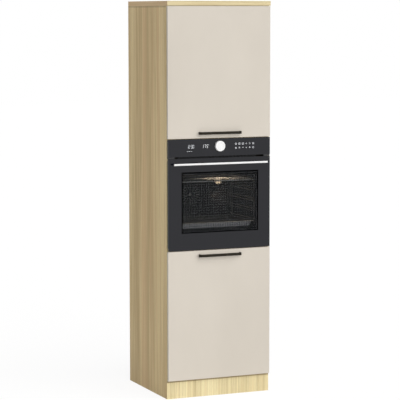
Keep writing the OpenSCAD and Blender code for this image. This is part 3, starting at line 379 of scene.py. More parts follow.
class Finish:
    """A finish that makes its material once and then hands it out."""

    name: str
    made: ClassVar[dict[str, bpy.types.Material]] = {}

    def material(self) -> bpy.types.Material:
        """Make this finish's material at the first call.

        Returns:
            The material.
        """
        if self.name not in Finish.made:
            Finish.made[self.name] = bpy.data.materials.new(self.name)
            self.paint(Sheet(Finish.made[self.name]))
        return Finish.made[self.name]

    def paint(self, sheet: Sheet) -> None:
        """Fill the sheet; each finish has its own way."""
        raise NotImplementedError


@dataclass(frozen=True)
class ShadowStrip:
    """A painted shadow: a level strip of the board darkened as if in the shade of the part above
    it.
    """

    axis: int
    side: int
    low: float
    high: float
    share: float

    def strip(self, sheet: Sheet) -> Value:
        """Return the strip's share of painted shadow.

        Args:
            sheet: The board's sheet.

        Returns:
            The share within the strip, and 0 elsewhere.
        """
        up = sheet.along(2)
        level = (up > self.low) * (up < self.high)
        return sheet.looks(self.axis, self.side) * level * self.share


@dataclass(frozen=True)
class OakDecor(Finish):
    """Oak decor on board: straight grain with fine pores, under a matt seal."""

    name: str
    grain: Grain
    pale: Colour = srgb(234, 221, 178)
    deep: Colour = srgb(206, 186, 140)
    warm: Colour = srgb(222, 192, 142)
    pore: Colour = srgb(158, 134, 94)
    flame: Colour = srgb(176, 148, 104)
    flame_share: float = 0.35
    waves: float = 90.0
    bands: float = 34.0
    band_share: float = 0.55
    edge_banded: bool = False
    edge_tone: Colour = srgb(222, 180, 132)
    edge_share: float = 0.55
    # Painted light: a paler tone on faces looking to the front, as if lit while the side faces
    # stand in shade.
    lit_front_tone: Colour = srgb(240, 226, 180)
    lit_front_share: float = 0.0
    # Colour of the painted shadow strips, which stand for contact shadows.
    painted_shadow_tone: Colour = srgb(128, 108, 76)
    painted_shadows: tuple[ShadowStrip, ...] = ()

    def paint(self, sheet: Sheet) -> None:
        """Paint growth rings, a slow change of tone, edges, a painted lit front, painted shadow
        strips, and pores with their bump.

        Args:
            sheet: The empty sheet.
        """
        stretch = self.grain.stretch
        edges = abs(sheet.facing(0)) > 0.5
        if self.edge_banded:
            sheet.turn_where(edges)
        rings = sheet.noise(stretch(self.waves, 1.3), detail=7.0, rough=0.66, bend=0.35)
        bands = sheet.noise(stretch(self.bands, 0.4), detail=3.0, rough=0.6, bend=0.1)
        tone = sheet.noise(stretch(9.0, 0.5), detail=2.0, rough=0.5, bend=0.2)
        fibre = sheet.noise(stretch(700.0, 9.0), detail=3.0, rough=0.6)
        pores = sheet.noise(stretch(950.0, 26.0), detail=2.0, rough=0.55).ramp(0.60, 0.74)
        flames = sheet.noise(stretch(self.waves * 1.7, 3.2), detail=3.0, rough=0.6, bend=0.2)
        wood = sheet.blend(self.pale, self.deep, (rings * 0.8 + tone * 0.5 - 0.15).ramp(0.34, 0.66))
        wood = sheet.blend(wood, self.warm, bands.ramp(0.48, 0.62) * self.band_share)
        wood = sheet.blend(wood, self.flame, flames.ramp(0.56, 0.70) * self.flame_share)
        if self.edge_banded:
            wood = sheet.blend(wood, self.edge_tone, edges * self.edge_share)
        # Painted light: front-facing faces are paler than the side faces.
        if self.lit_front_share:
            wood = sheet.blend(wood, self.lit_front_tone, sheet.looks(1, -1) * self.lit_front_share)
        # Painted shadow: darken each strip.
        for painted_shadow in self.painted_shadows:
            wood = sheet.blend(wood, self.painted_shadow_tone, painted_shadow.strip(sheet))
        sheet.finish(
            Base_Color=sheet.blend(wood, self.pore, pores * 0.42 + fibre.ramp(0.55, 0.8) * 0.12),
            Roughness=rings * 0.16 + 0.46,
            Specular_IOR_Level=0.35,
            Normal=sheet.bump(fibre * 0.35 - pores, depth=0.00008),
        )


@dataclass(frozen=True)
class MattLacquer(Finish):
    """Smooth matt lacquer on the doors, with a trace of orange peel."""

    name: str = "cashmere_lacquer"
    tone: Colour = srgb(218, 210, 198)
    shade: Colour = srgb(211, 203, 191)

    def paint(self, sheet: Sheet) -> None:
        """Paint a nearly even tone that clouds a little, and the peel.

        Args:
            sheet: The empty sheet.
        """
        cloud = sheet.noise((2.2, 2.2, 1.1), detail=4.0)
        peel = sheet.noise(900.0, detail=2.0)
        sheet.finish(
            Base_Color=sheet.blend(self.tone, self.shade, cloud.ramp(0.3, 0.75)),
            Roughness=cloud * 0.12 + 0.42,
            Specular_IOR_Level=0.3,
            Normal=sheet.bump(peel, depth=0.000012),
        )


@dataclass(frozen=True)
class Hardboard(Finish):
    """Thin fibre board: painted towards the compartments, raw towards the wall."""

    name: str = "hardboard"
    painted: Colour = srgb(214, 206, 192)
    raw: Colour = srgb(141, 108, 74)
    fibre_tone: Colour = srgb(99, 72, 47)

    def paint(self, sheet: Sheet) -> None:
        """Paint raw matted fibres on the wall side and a thin coat on the other.

        Args:
            sheet: The empty sheet.
        """
        outside = sheet.looks(1, 1)
        fibres = sheet.noise((160.0, 160.0, 110.0), detail=8.0, rough=0.75, bend=1.4)
        sieve = sheet.noise(1100.0, detail=2.0)
        raw = sheet.blend(self.raw, self.fibre_tone, fibres.ramp(0.42, 0.68))
        sheet.finish(
            Base_Color=sheet.blend(self.painted, raw, outside),
            Roughness=outside * 0.25 + (fibres * 0.1 + 0.5),
            Normal=sheet.bump(sieve * 0.6 + fibres, depth=0.0001),
        )


@dataclass(frozen=True)
class Coating(Finish):
    """Paint or moulded plastic with a fine texture, rubbed a little."""

    name: str
    tone: Colour
    rubbed: Colour
    rough: float
    texture: float
    depth: float
    gloss: float

    def paint(self, sheet: Sheet) -> None:
        """Paint the tone, its rubbed patches and the fine texture.

        Args:
            sheet: The empty sheet.
        """
        rub = sheet.noise(14.0, detail=6.0, rough=0.6).ramp(0.45, 0.8)
        skin = sheet.noise(self.texture, detail=3.0, rough=0.6)
        sheet.finish(
            Base_Color=sheet.blend(self.tone, self.rubbed, rub * 0.5),
            Roughness=rub * -0.08 + (skin * 0.1 + self.rough),
            Specular_IOR_Level=self.gloss,
            Normal=sheet.bump(skin, depth=self.depth),
        )


@dataclass(frozen=True)
class Metal(Finish):
    """Plated, rolled or drawn metal with fine lines along one axis."""

    name: str
    tone: Colour
    worn: Colour
    run: Grain
    rough: float
    lines: float = 1400.0
    metallic: float = 1.0

    def paint(self, sheet: Sheet) -> None:
        """Paint the metal, its drawing lines and dull patches.

        Args:
            sheet: The empty sheet.
        """
        lines = sheet.noise(self.run.stretch(self.lines, 25.0), detail=4.0, rough=0.6)
        dull = sheet.noise(22.0, detail=5.0, rough=0.6)
        sheet.finish(
            Base_Color=sheet.blend(self.tone, self.worn, dull.ramp(0.4, 0.75)),
            Metallic=self.metallic,
            Roughness=dull * 0.14 + (lines * 0.12 + self.rough - 0.1),
            Normal=sheet.bump(lines, depth=0.000015),
        )


@dataclass(frozen=True)
class TrayEnamel(Finish):
    """Grey enamel of the baking tray: clean in front; the inside near black, partly baked-on stain
    and partly painted shade.
    """

    name: str = "tray_enamel"
    clean: Colour = srgb(228, 230, 235)
    # Near black: partly baked-on stain, partly painted shade on the tray's inside.
    baked: Colour = srgb(22, 22, 22)
    front_y: float = -0.189

    def paint(self, sheet: Sheet) -> None:
        """Paint the clean front, the near-black inside of stain and painted shade, and a fine
        ripple.

        Args:
            sheet: The empty sheet.
        """
        stain = sheet.noise(12.0, detail=6.0, rough=0.65, bend=0.6)
        ripple = sheet.noise(140.0, detail=2.0)
        # Stain and painted shade: the whole inside behind the front wall is darkened.
        stain_and_shade = (sheet.along(1) > self.front_y) * (stain * 0.08 + 0.94)
        sheet.finish(
            Base_Color=sheet.blend(self.clean, self.baked, stain_and_shade),
            Roughness=stain_and_shade * 0.3 + (stain * 0.1 + 0.3),
            Specular_IOR_Level=0.3,
            Normal=sheet.bump(ripple, depth=0.00005),
        )


@dataclass(frozen=True)
class Galvanised(Finish):
    """Zinc coated sheet with its spangle of flat crystals."""

    name: str = "galvanised_sheet"
    bright: Colour = srgb(196, 199, 201)
    dark: Colour = srgb(150, 154, 158)

    def paint(self, sheet: Sheet) -> None:
        """Paint each crystal in its own tone and roughness.

        Args:
            sheet: The empty sheet.
        """
        spangle = sheet.cells(95.0).outputs["Color"]
        shades = sheet.node("ShaderNodeSeparateColor", None, {0: spangle})
        crystal = Value(sheet, shades.outputs[0])
        stain = sheet.noise(5.0, detail=5.0, rough=0.6)
        darker = crystal * 0.6 + stain.ramp(0.4, 0.8) * 0.4
        sheet.finish(
            Base_Color=sheet.blend(self.bright, self.dark, darker),
            Metallic=0.9,
            Roughness=crystal * 0.2 + (stain * 0.15 + 0.28),
            Normal=sheet.bump(crystal, depth=0.00002),
        )


@dataclass(frozen=True)
class Enamel(Finish):
    """Vitreous enamel, dark with pale flecks, and a little baked-on haze."""

    name: str = "speckled_enamel"
    ground: Colour = srgb(20, 21, 24)
    fleck: Colour = srgb(72, 76, 84)
    haze: Colour = srgb(30, 27, 24)

    def paint(self, sheet: Sheet) -> None:
        """Paint flecks of two sizes over the ground, and the haze.

        Args:
            sheet: The empty sheet.
        """
        flecks = sheet.dots(420.0, radius=0.16).largest(sheet.dots(170.0, radius=0.07))
        baked = sheet.noise(9.0, detail=5.0, rough=0.6).ramp(0.5, 0.85)
        ripple = sheet.noise(120.0, detail=2.0)
        ground = sheet.blend(self.ground, self.haze, baked * 0.7)
        sheet.finish(
            Base_Color=sheet.blend(ground, self.fleck, flecks * 0.55),
            Roughness=baked * 0.2 + 0.32,
            Specular_IOR_Level=0.09,
            Normal=sheet.bump(ripple, depth=0.00006),
        )


@dataclass(frozen=True)
class PrintedGlass(Finish):
    """Toughened front glass, printed black from behind."""

    name: str
    ink: Colour = srgb(8, 9, 18)
    wiped: Colour = srgb(13, 14, 23)

    def paint(self, sheet: Sheet) -> None:
        """Paint the print under faintly wiped glass.

        Args:
            sheet: The empty sheet.
        """
        wipe = sheet.noise((3.0, 3.0, 5.0), detail=5.0, rough=0.6, bend=0.6)
        ink = sheet.blend(self.ink, self.wiped, wipe)
        sheet.finish(
            Roughness=wipe.ramp(0.45, 0.8) * 0.06 + 0.05,
            IOR=1.45,
            **self.print_on(sheet, ink),
        )

    def print_on(self, sheet: Sheet, ink: bpy.types.NodeSocket) -> dict[str, Any]:
        """Print the glass all over; glass of another kind may leave a window.

        Args:
            sheet: The sheet; not used here.
            ink: The ink's colour.

        Returns:
            The shader's sockets that the print fills.
        """
        return {"Base_Color": ink}


@dataclass(frozen=True)
class WindowGlass(PrintedGlass):
    """The same glass with a smoked window under a fine mesh, ringed by a painted shadow: a black
    band that reflects nothing.
    """

    low: Point = (-0.215, 0.900)
    high: Point = (0.223, 1.217)
    # Width and colour of the painted shadow band round the window; the colour is also the window's
    # own.
    outline: float = 0.0055
    shadow_band_and_window_tone: Colour = (0.001, 0.001, 0.001)
    mesh: float = 0.0140
    mesh_line: float = 0.0018
    mesh_tone: Colour = srgb(52, 54, 58)
    mesh_cover: float = 0.5
    tint: float = 0.31
    dull: float = 0.93

    def print_on(self, sheet: Sheet, ink: bpy.types.NodeSocket) -> dict[str, Any]:
        """Print the ink and the mesh, paint the shadow band round the window, and leave the window
        open.

        Args:
            sheet: The sheet.
            ink: The ink's colour.

        Returns:
            The shader's sockets that the print fills.
        """
        past, near = [], []
        for axis, low, high in zip((0, 2), self.low, self.high):
            place = sheet.along(axis)
            past.append(abs(place - (low + high) / 2) - (high - low) / 2)
            near.append(place.zigzag(self.mesh) < self.mesh_line / 2)
        outside = past[0].largest(past[1])
        inside = outside < 0.0
        # Painted shadow: the band round the window is black and reflects nothing.
        shadow_band = (outside < self.outline) - inside
        lines = near[0].largest(near[1]) * inside * sheet.looks(1, -1)
        tone = sheet.blend(ink, self.shadow_band_and_window_tone, shadow_band.largest(inside))
        return {
            "Base_Color": sheet.blend(tone, self.mesh_tone, lines),
            "Metallic": shadow_band + inside * self.dull * (1.0 - lines),
            "Alpha": 1.0 - inside * (1.0 - self.tint) * (1.0 - lines * self.mesh_cover),
        }


@dataclass(frozen=True)
class ClearGlass(Finish):
    """Clear inner glass with a faint film of cooking grease."""

    name: str = "clear_glass"
    tint: Colour = srgb(78, 94, 88)

    def paint(self, sheet: Sheet) -> None:
        """Paint a nearly clear sheet with smears and greener edges.

        Args:
            sheet: The empty sheet.
        """
        smear = sheet.noise((6.0, 6.0, 14.0), detail=6.0, rough=0.65, bend=1.0)
        edge = (abs(sheet.facing(1)) < 0.5) * 0.5
        sheet.finish(
            Base_Color=self.tint,
            Roughness=smear * 0.12 + 0.03,
            Alpha=smear.ramp(0.5, 0.9) * 0.06 + (edge + 0.05),
        )


@dataclass(frozen=True)
class Gasket(Finish):
    """Woven glass-fibre seal round the cavity's mouth."""

    name: str = "fibre_gasket"
    tone: Colour = srgb(38, 36, 34)
    strand: Colour = srgb(92, 88, 82)
    pitch: float = 0.0018

    def paint(self, sheet: Sheet) -> None:
        """Paint a close diagonal weave.

        Args:
            sheet: The empty sheet.
        """
        across, up = sheet.along(0), sheet.along(2)
        half = self.pitch / 2
        rising = (across - up).zigzag(self.pitch) / half
        falling = (across + up).zigzag(self.pitch) / half
        weave = falling * rising
        sheet.finish(
            Base_Color=sheet.blend(self.tone, self.strand, weave),
            Roughness=weave * -0.1 + 0.85,
            Normal=sheet.bump(weave, depth=0.0003),
        )


@dataclass(frozen=True)
class HeatingTube(Finish):
    """Heating tube of oxidised steel with temper colours."""

    name: str = "heating_tube"
    oxide: Colour = srgb(74, 66, 62)
    straw: Colour = srgb(134, 112, 84)

    def paint(self, sheet: Sheet) -> None:
        """Paint bands of oxide and straw.

        Args:
            sheet: The empty sheet.
        """
        heat = sheet.noise(16.0, detail=5.0, rough=0.6, bend=0.5)
        scale = sheet.noise(900.0, detail=3.0, rough=0.7)
        sheet.finish(
            Base_Color=sheet.blend(self.oxide, self.straw, heat.ramp(0.45, 0.7)),
            Metallic=0.7,
            Roughness=scale * 0.2 + 0.38,
            Normal=sheet.bump(scale, depth=0.00005),
        )


@dataclass(frozen=True)
class LampGlass(Finish):
    """Ribbed glass over the oven's bulb, lit from inside, on its ceramic holder."""

    name: str = "lamp_glass"
    ceramic: Colour = srgb(222, 216, 204)
    glass: Colour = srgb(240, 232, 214)
    unlit: Colour = (0.0, 0.0, 0.0)
    wall_y: float = 0.1655
    middle: Point = (0.183, 1.130)
    rib: float = 0.0036
    strength: float = 1.25
    glow_r: float = 0.024

    def paint(self, sheet: Sheet) -> None:
        """Paint rings of ribs that glow most in the middle, and leave the holder plain.

        Args:
            sheet: The empty sheet.
        """
        dx, dz = sheet.along(0) - self.middle[0], sheet.along(2) - self.middle[1]
        radius = (dx * dx + dz * dz) ** 0.5
        on_glass = sheet.along(1) < self.wall_y
        ribs = radius.zigzag(self.rib) / (self.rib / 2)
        glow = (1.0 - radius / self.glow_r) * on_glass * (ribs * 0.3 + 0.8)
        craze = sheet.noise(300.0, detail=3.0)
        sheet.finish(
            Base_Color=sheet.blend(self.ceramic, self.glass, on_glass),
            Roughness=0.5 - on_glass * 0.36 + craze * 0.05,
            Emission_Color=sheet.blend(self.unlit, BULB_LIGHT, glow.ramp(0.0, 1.0)),
            Emission_Strength=self.strength,
            Normal=sheet.bump(ribs * on_glass, depth=0.0004),
        )


@dataclass(frozen=True)
class DisplayLight(Finish):
    """Light-emitting display marks, and printed marks that are given a painted glow."""

    name: str
    tone: Colour
    strength: float
    weakest: float = 0.8

    def paint(self, sheet: Sheet) -> None:
        """Paint marks that are a little uneven.

        Args:
            sheet: The empty sheet.
        """
        uneven = sheet.noise(400.0, detail=2.0)
        lit = sheet.blend(self.tone, tuple(c * self.weakest for c in self.tone), uneven)
        sheet.finish(
            Base_Color=lit,
            Roughness=uneven * 0.1 + 0.3,
            Emission_Color=lit,
            Emission_Strength=self.strength,
        )


# Painted shadows: a dark strip on the plinth and the sides' front edges under the lower door, and
# on the sides under the cap board.
SHADE_UNDER_DOOR = ShadowStrip(axis=1, side=-1, low=0.0885, high=0.1010, share=0.68)
SHADE_UNDER_CAP = tuple(ShadowStrip(axis=0, side=side, low=2.0960, high=2.1060, share=0.38) for side in (-1, 1))
# The uprights' palette is darker and browner than the plinth's. This is partly the decor's own
# colour and partly painted shade on the side faces.
OAK_UP = OakDecor(
    "oak_upright", Grain.UP, srgb(240, 217, 164), srgb(199, 171, 120), srgb(219, 182, 133),
    waves=110.0, bands=42.0, lit_front_share=0.75, painted_shadows=(SHADE_UNDER_DOOR, *SHADE_UNDER_CAP),
)
OAK_ACROSS = OakDecor("oak_across", Grain.ACROSS, edge_banded=True)
OAK_PLINTH = OakDecor(
    "oak_plinth", Grain.UP, srgb(242, 229, 184), srgb(211, 194, 148), srgb(230, 210, 162),
    waves=130.0, bands=75.0, painted_shadows=(SHADE_UNDER_DOOR,),
)
CASHMERE = MattLacquer()
BLACK_METAL = Coating(
    "black_powder_coat", srgb(33, 28, 18), srgb(47, 41, 31),
    rough=0.5, texture=1100.0, depth=0.00005, gloss=0.16,
)
BLACK_PLASTIC = Coating(
    "black_plastic", srgb(26, 26, 28), srgb(38, 38, 40),
    rough=0.5, texture=1500.0, depth=0.00004, gloss=0.4,
)
WHITE = Coating(
    "white_gloss", srgb(250, 250, 250), srgb(244, 244, 244),
    rough=0.24, texture=400.0, depth=0.00001, gloss=0.5,
)
SCREW_STEEL = Metal("screw_steel", srgb(176, 176, 172), srgb(128, 126, 120), Grain.DEEP, rough=0.34)
ZINC = Metal(
    "die_cast_zinc", srgb(172, 175, 178), srgb(140, 143, 147), Grain.DEEP, rough=0.40, lines=500.0,
)
NICKEL = Metal("nickel_plate", srgb(206, 203, 196), srgb(176, 172, 164), Grain.DEEP, rough=0.24)
CHROME = Metal(
    "chrome_wire", srgb(208, 209, 210), srgb(170, 168, 160), Grain.DEEP, rough=0.26, metallic=0.65,
)
USED_CHROME = Metal(
    "used_chrome_wire", srgb(140, 137, 130), srgb(96, 88, 76), Grain.DEEP, rough=0.34, metallic=0.8,
)
POST_STEEL = Metal("post_steel", srgb(198, 198, 196), srgb(160, 160, 158), Grain.DEEP, rough=0.26)
FAN_STEEL = Metal("fan_steel", srgb(182, 180, 174), srgb(132, 124, 112), Grain.UP, rough=0.34)
GALVANISED = Galvanised()
ENAMEL = Enamel()
TRAY_ENAMEL = TrayEnamel()
FRONT_GLASS = PrintedGlass("fascia_glass")
DOOR_GLASS = WindowGlass("door_glass")
CLEAR_GLASS = ClearGlass()
GASKET = Gasket()
ELEMENT = HeatingTube()
LAMP = LampGlass()
BACK_BOARD = Hardboard()
CLOCK_LIGHT = DisplayLight("clock_light", srgb(200, 203, 208), strength=0.25)
HEAT_LIGHT = DisplayLight("heat_light", srgb(245, 246, 248), strength=0.70)
# Painted light: the printed panel marks are given a glow.
GLOWING_PRINT = DisplayLight("panel_print_glowing", srgb(224, 226, 230), strength=0.32)
KNOB_PRINT = DisplayLight("knob_print", srgb(168, 168, 170), strength=0.0)


# ---------- Meshes ----------


Ring = list[bmesh.types.BMVert]


def circle(radius: float, level: float, steps: int) -> list[Vector]:
    """Return corners round the Z axis.

    Args:
        radius: Their distance from it.
        level: Their height.
        steps: How many there are.

    Returns:
        The corners.
    """
    angles = [2 * math.pi * k / steps for k in range(steps)]
    return [Vector((radius * math.cos(a), radius * math.sin(a), level)) for a in angles]


def arc(
    u: float, v: float, radius: float, start: float, end: float, steps: int = 12,
) -> list[Point]:
    """Return points along an arc.

    Args:
        u: Its centre across.
        v: Its centre up.
        radius: Its radius.
        start: Its first angle in degrees.
        end: Its last angle in degrees.
        steps: How many steps it takes.

    Returns:
        The points.
    """
    angles = [math.radians(start + (end - start) * k / steps) for k in range(steps + 1)]
    return [(u + radius * math.cos(a), v + radius * math.sin(a)) for a in angles]


@dataclass(frozen=True)
class ScrewHead:
    """A low screw head with a cross recess.

    Its radius, height and seat, which is how deep its foot sits in the surface, are in metres.
    The other measures are shares of the radius or height.
    """

    radius: float
    height: float
    seat: float = 0.0002
    top: float = 0.82
    shoulder: float = 0.4
    arm: float = 0.62
    slot: float = 0.17
    pit: float = 0.7
    pit_floor: float = 0.35
    steps: int = 24

    def cross(self) -> list[Vector]:
        """Work out the recess.

        Returns:
            Its twelve corners, counted round.
        """
        slot, arm = self.radius * self.slot, self.radius * self.arm
        corners = []
        for k in range(4):
            spin = Matrix.Rotation(k * math.pi / 2, 2)
            corners += [spin @ Vector(p) for p in ((slot, slot), (slot, arm), (-slot, arm))]
        return corners


class Maker:
    """Collects the faces of one new piece and then places it."""

    def __init__(self) -> None:
        """Start with no faces."""
        self.mesh = bmesh.new()

    def ring(self, spots: Iterable[Vector]) -> Ring:
        """Add corners that later faces use."""
        return [self.mesh.verts.new(spot) for spot in spots]

    def bridge(self, rings: Sequence[Ring]) -> None:
        """Add a band of faces between each ring and the next.

        Args:
            rings: The rings, in order, each with as many corners as the others.
        """
        for near, far in zip(rings, rings[1:]):
            for k in range(len(near)):
                j = (k + 1) % len(near)
                self.mesh.faces.new((near[k], near[j], far[j], far[k]))

    def tube(self, rings: Sequence[Ring]) -> None:
        """Add bands between the rings, and close both ends.

        Args:
            rings: The rings, in order.
        """
        self.bridge(rings)
        self.mesh.faces.new(rings[0][::-1])
        self.mesh.faces.new(rings[-1])

    def solid(self, outline: Sequence[Vector], depth: Vector) -> None:
        """Add a closed prism.

        Args:
            outline: The corners of one end.
            depth: The way from that end to the other.
        """
        self.tube([self.ring(outline), self.ring(corner + depth for corner in outline)])

    def ribbon(
        self, line: Sequence[Point], width: float, y: float, thick: float, closed: bool = False,
    ) -> None:
        """Add a flat line with mitred corners on an upright plane.

        Args:
            line: Its points in X and Z.
            width: Its width.
            y: The plane's depth.
            thick: How far it stands in front of the plane.
            closed: Whether its end joins its start.
        """
        sharpest = 0.35
        points = [Vector(p) for p in line]
        after = [(b - a).normalized() for a, b in zip(points, points[1:] + points[:1])]
        if not closed:
            after[-1] = after[-2]
        before = [after[-1] if closed else after[0], *after[:-1]]
        rows = []
        for point, one, two in zip(points, before, after):
            across = Vector((-one.y - two.y, one.x + two.x)).normalized()
            reach = across * width / 2 / max(sharpest, across.dot(Vector((-one.y, one.x))))
            left, right = point + reach, point - reach
            corners = [(left, y - thick), (right, y - thick), (right, y), (left, y)]
            rows.append(self.ring(Vector((p.x, depth, p.y)) for p, depth in corners))
        if closed:
            self.bridge([*rows, rows[0]])
        else:
            self.tube(rows)

    def turned(
        self, profile: Sequence[Point], at: Sequence[float], axis: Sequence[float], steps: int,
    ) -> None:
        """Add a turned form.

        Args:
            profile: Radius and height of each point, from the foot to the top, both closed.
            at: The foot's centre.
            axis: The way that the height runs.
            steps: How many sides it has.
        """
        turn = Vector(axis).to_track_quat("Z", "Y")
        self.tube([
            self.ring(Vector(at) + turn @ spot for spot in circle(radius, height, steps))
            for radius, height in profile
        ])

    def screw(
        self, head: ScrewHead, at: Sequence[float], axis: Sequence[float], angle: float,
    ) -> None:
        """Add a screw head.

        Args:
            head: Its sizes.
            at: Where the screw enters the surface.
            axis: The way that the head looks.
            angle: How far its cross is turned, in radians.
        """
        turn = Vector(axis).to_track_quat("Z", "Y") @ Matrix.Rotation(angle, 3, "Z").to_quaternion()
        foot = Vector(at) - Vector(axis) * head.seat

        def rise(radius: float, level: float) -> Ring:
            """Return a new circle of corners at one level."""
            return self.ring(foot + turn @ spot for spot in circle(radius, level, head.steps))

        def cut(share: float, level: float) -> Ring:
            """Return new corners of the cross, drawn in to a share, at one level."""
            return self.ring(foot + turn @ Vector((*(p * share), level)) for p in head.cross())

        rings = [
            rise(head.radius, 0.0),
            rise(head.radius, head.height * head.shoulder),
            rise(head.radius * head.top, head.height),
        ]
        self.bridge(rings)
        self.mesh.faces.new(rings[0][::-1])
        lip, pit = cut(1.0, head.height), cut(head.pit, head.height * head.pit_floor)
        self.bridge([lip, pit])
        self.mesh.faces.new(pit)
        edges = []
        for loop in (rings[-1], lip):
            for pair in zip(loop, loop[1:] + loop[:1]):
                edges.append(self.mesh.edges.get(pair) or self.mesh.edges.new(pair))
        bmesh.ops.triangle_fill(self.mesh, use_beauty=True, use_dissolve=False, edges=edges)

    def place(self, name: str, finish: Finish, body: str, slot: str) -> None:
        """Turn the faces into a piece that rides on a body.

        Args:
            name: The piece's name.
            finish: Its finish.
            body: The body that it moves with.
            slot: The record's material slot; not used.
        """
        bmesh.ops.recalc_face_normals(self.mesh, faces=self.mesh.faces)
        data = bpy.data.meshes.new(name)
        self.mesh.to_mesh(data)
        self.mesh.free()
        data.materials.append(finish.material())
        piece = add_object(name, data)
        soften(piece)
        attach(piece, body)
        LOG.info("made %s on %s", name, body)


def add_object(name: str, data: bpy.types.ID) -> bpy.types.Object:
    """Put a new object in the scene.

    Args:
        name: Its name.
        data: Its mesh, light or camera.

    Returns:
        The object.
    """
    thing = bpy.data.objects.new(name, data)
    bpy.context.scene.collection.objects.link(thing)
    return thing


def soften(piece: bpy.types.Object, degrees: float = 30.0) -> None:
    """Shade a piece smooth, but keep its edges over an angle sharp.

    Args:
        piece: The piece.
        degrees: The angle.
    """
    data = piece.data
    if data.has_custom_normals:
        chosen = {"object": piece, "active_object": piece, "selected_editable_objects": [piece]}
        with bpy.context.temp_override(**chosen):
            bpy.ops.mesh.customdata_custom_splitnormals_clear()
    data.shade_smooth()
    data.set_sharp_from_angle(angle=math.radians(degrees))


def dress(
    finish: Finish, *nodes: str, round_mm: float = 0.0, smooth: float = 30.0, sharp: float = 40.0,
) -> None:
    """Give CAD nodes their finish and the small rounding of their edges.

    Args:
        finish: The finish.
        nodes: The nodes' names.
        round_mm: The rounding's width, or 0 for none.
        smooth: Edges flatter than this many degrees are smoothed.
        sharp: Edges steeper than this many degrees are rounded.
    """
    for name in nodes:
        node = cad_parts[name]
        if not node.material_slots:
            node.data.materials.append(None)
        for held in node.material_slots:
            held.material = finish.material()
        soften(node, smooth)
        if round_mm:
            rounding = node.modifiers.new("edge_rounding", "BEVEL")
            rounding.width = round_mm * MM
            rounding.segments = 2
            rounding.limit_method = "ANGLE"
            rounding.angle_limit = math.radians(sharp)
            rounding.harden_normals = True
        LOG.info("dressed %s", name)


# ---------- Sub-assemblies ----------


class Assembly:
    """A group of pieces that is dressed and completed together."""

    def build(self) -> None:
        """Build the group; each has its own way."""
        raise NotImplementedError


@dataclass
class Carcass(Assembly):
    """The oak box: sides, fixed boards, loose shelves, backs, wall rail and plinth."""

    edge_mm: float = 0.8
    cap_edge_mm: float = 1.2

    def build(self) -> None:
        """Dress the boards and their small fittings."""
        dress(OAK_UP, "side_panel_left", "side_panel_right", round_mm=self.edge_mm)
        dress(OAK_ACROSS, "top_panel", round_mm=self.cap_edge_mm)
        dress(
            OAK_ACROSS, "bottom_panel", "oven_shelf", "dividing_shelf", "upper_shelf",
            "lower_shelf", "wall_rail", round_mm=self.edge_mm,
        )
        dress(OAK_PLINTH, "plinth_board", round_mm=self.edge_mm)
        dress(BACK_BOARD, "back_panel_upper", "back_panel_lower")
        dress(NICKEL, "shelf_pins", round_mm=0.3)
        dress(ZINC, "cam_fittings")


@dataclass
class Doors(Assembly):
    """The two lacquered doors, their bow handles, screws and buffers."""

    back_y: float = -0.258
    free_x: float = -0.287
    buffer_r: float = 0.0045
    buffer_h: float = 0.0014
    buffer_rise: tuple[float, ...] = (0.0, 0.4, 0.8, 1.2, 1.5)
    buffer_zs: tuple[tuple[str, Point], ...] = (
        ("upper_door", (1.424, 2.080)), ("lower_door", (0.124, 0.776)),
    )

    def build(self) -> None:
        """Dress the leaves and handles and add the clear buffers."""
        dress(CASHMERE, "upper_door", "lower_door", round_mm=0.9)
        dress(BLACK_METAL, "upper_handle", "lower_handle", round_mm=0.4, smooth=40.0)
        dress(SCREW_STEEL, "upper_handle_screws", "lower_handle_screws")
        dome = [
            (self.buffer_r * math.cos(a), self.buffer_h * math.sin(a)) for a in self.buffer_rise
        ]
        for body, heights in self.buffer_zs:
            maker = Maker()
            for z in heights:
                maker.turned(dome, (self.free_x, self.back_y, z), (0, 1, 0), steps=24)
            maker.place(f"{body}_buffers", CLEAR_GLASS, body, "clear_glass")


@dataclass
class CupHinges(Assembly):
    """Four concealed hinges: cup in the door, arm on a plate, and two links between."""

    cup_x: float = 0.2755
    cup_face_y: float = -0.257
    cup_screw_dz: float = 0.022
    cup_head: ScrewHead = ScrewHead(radius=0.0031, height=0.0012)
    plate_x: float = 0.278
    plate_y: float = -0.219
    plate_screw_dz: float = 0.016
    plate_head: ScrewHead = ScrewHead(radius=0.0034, height=0.0014)
    heights: tuple[tuple[str, Point], ...] = (
        ("upper_door", (1.502, 2.003)), ("lower_door", (0.200, 0.699)),
    )

    def build(self) -> None:
        """Dress the hinges' parts and add their wood screws."""
        dress(
            NICKEL, "upper_hinge_cups", "lower_hinge_cups", "hinge_arms", "upper_arm_links",
            "upper_cup_links", "lower_arm_links", "lower_cup_links",
        )
        dress(ZINC, "hinge_plates", round_mm=0.3)
        plates = Maker()
        for body, heights in self.heights:
            cups = Maker()
            for z in heights:
                for k, side in enumerate((-1, 1)):
                    at = (self.cup_x, self.cup_face_y, z + side * self.cup_screw_dz)
                    cups.screw(self.cup_head, at, (0, 1, 0), angle=0.5 + k)
                    at = (self.plate_x, self.plate_y, z + side * self.plate_screw_dz)
                    plates.screw(self.plate_head, at, (-1, 0, 0), angle=0.2 + 1.3 * k)
            cups.place(f"{body}_cup_screws", SCREW_STEEL, body, "screw_steel")
        plates.place("hinge_plate_screws", SCREW_STEEL, "unit", "screw_steel")


SEGMENTS = {
    "0": "abcdef", "1": "bc", "2": "abdeg", "3": "abcdg", "4": "bcfg",
    "5": "acdfg", "6": "acdefg", "7": "abc", "8": "abcdefg", "9": "abcdfg",
}
SEGMENT_ENDS = {
    "a": ((0, 1), (1, 1)), "g": ((0, 0.5), (1, 0.5)), "d": ((0, 0), (1, 0)),
    "f": ((0, 0.5), (0, 1)), "b": ((1, 0.5), (1, 1)),
    "e": ((0, 0), (0, 0.5)), "c": ((1, 0), (1, 0.5)),
}


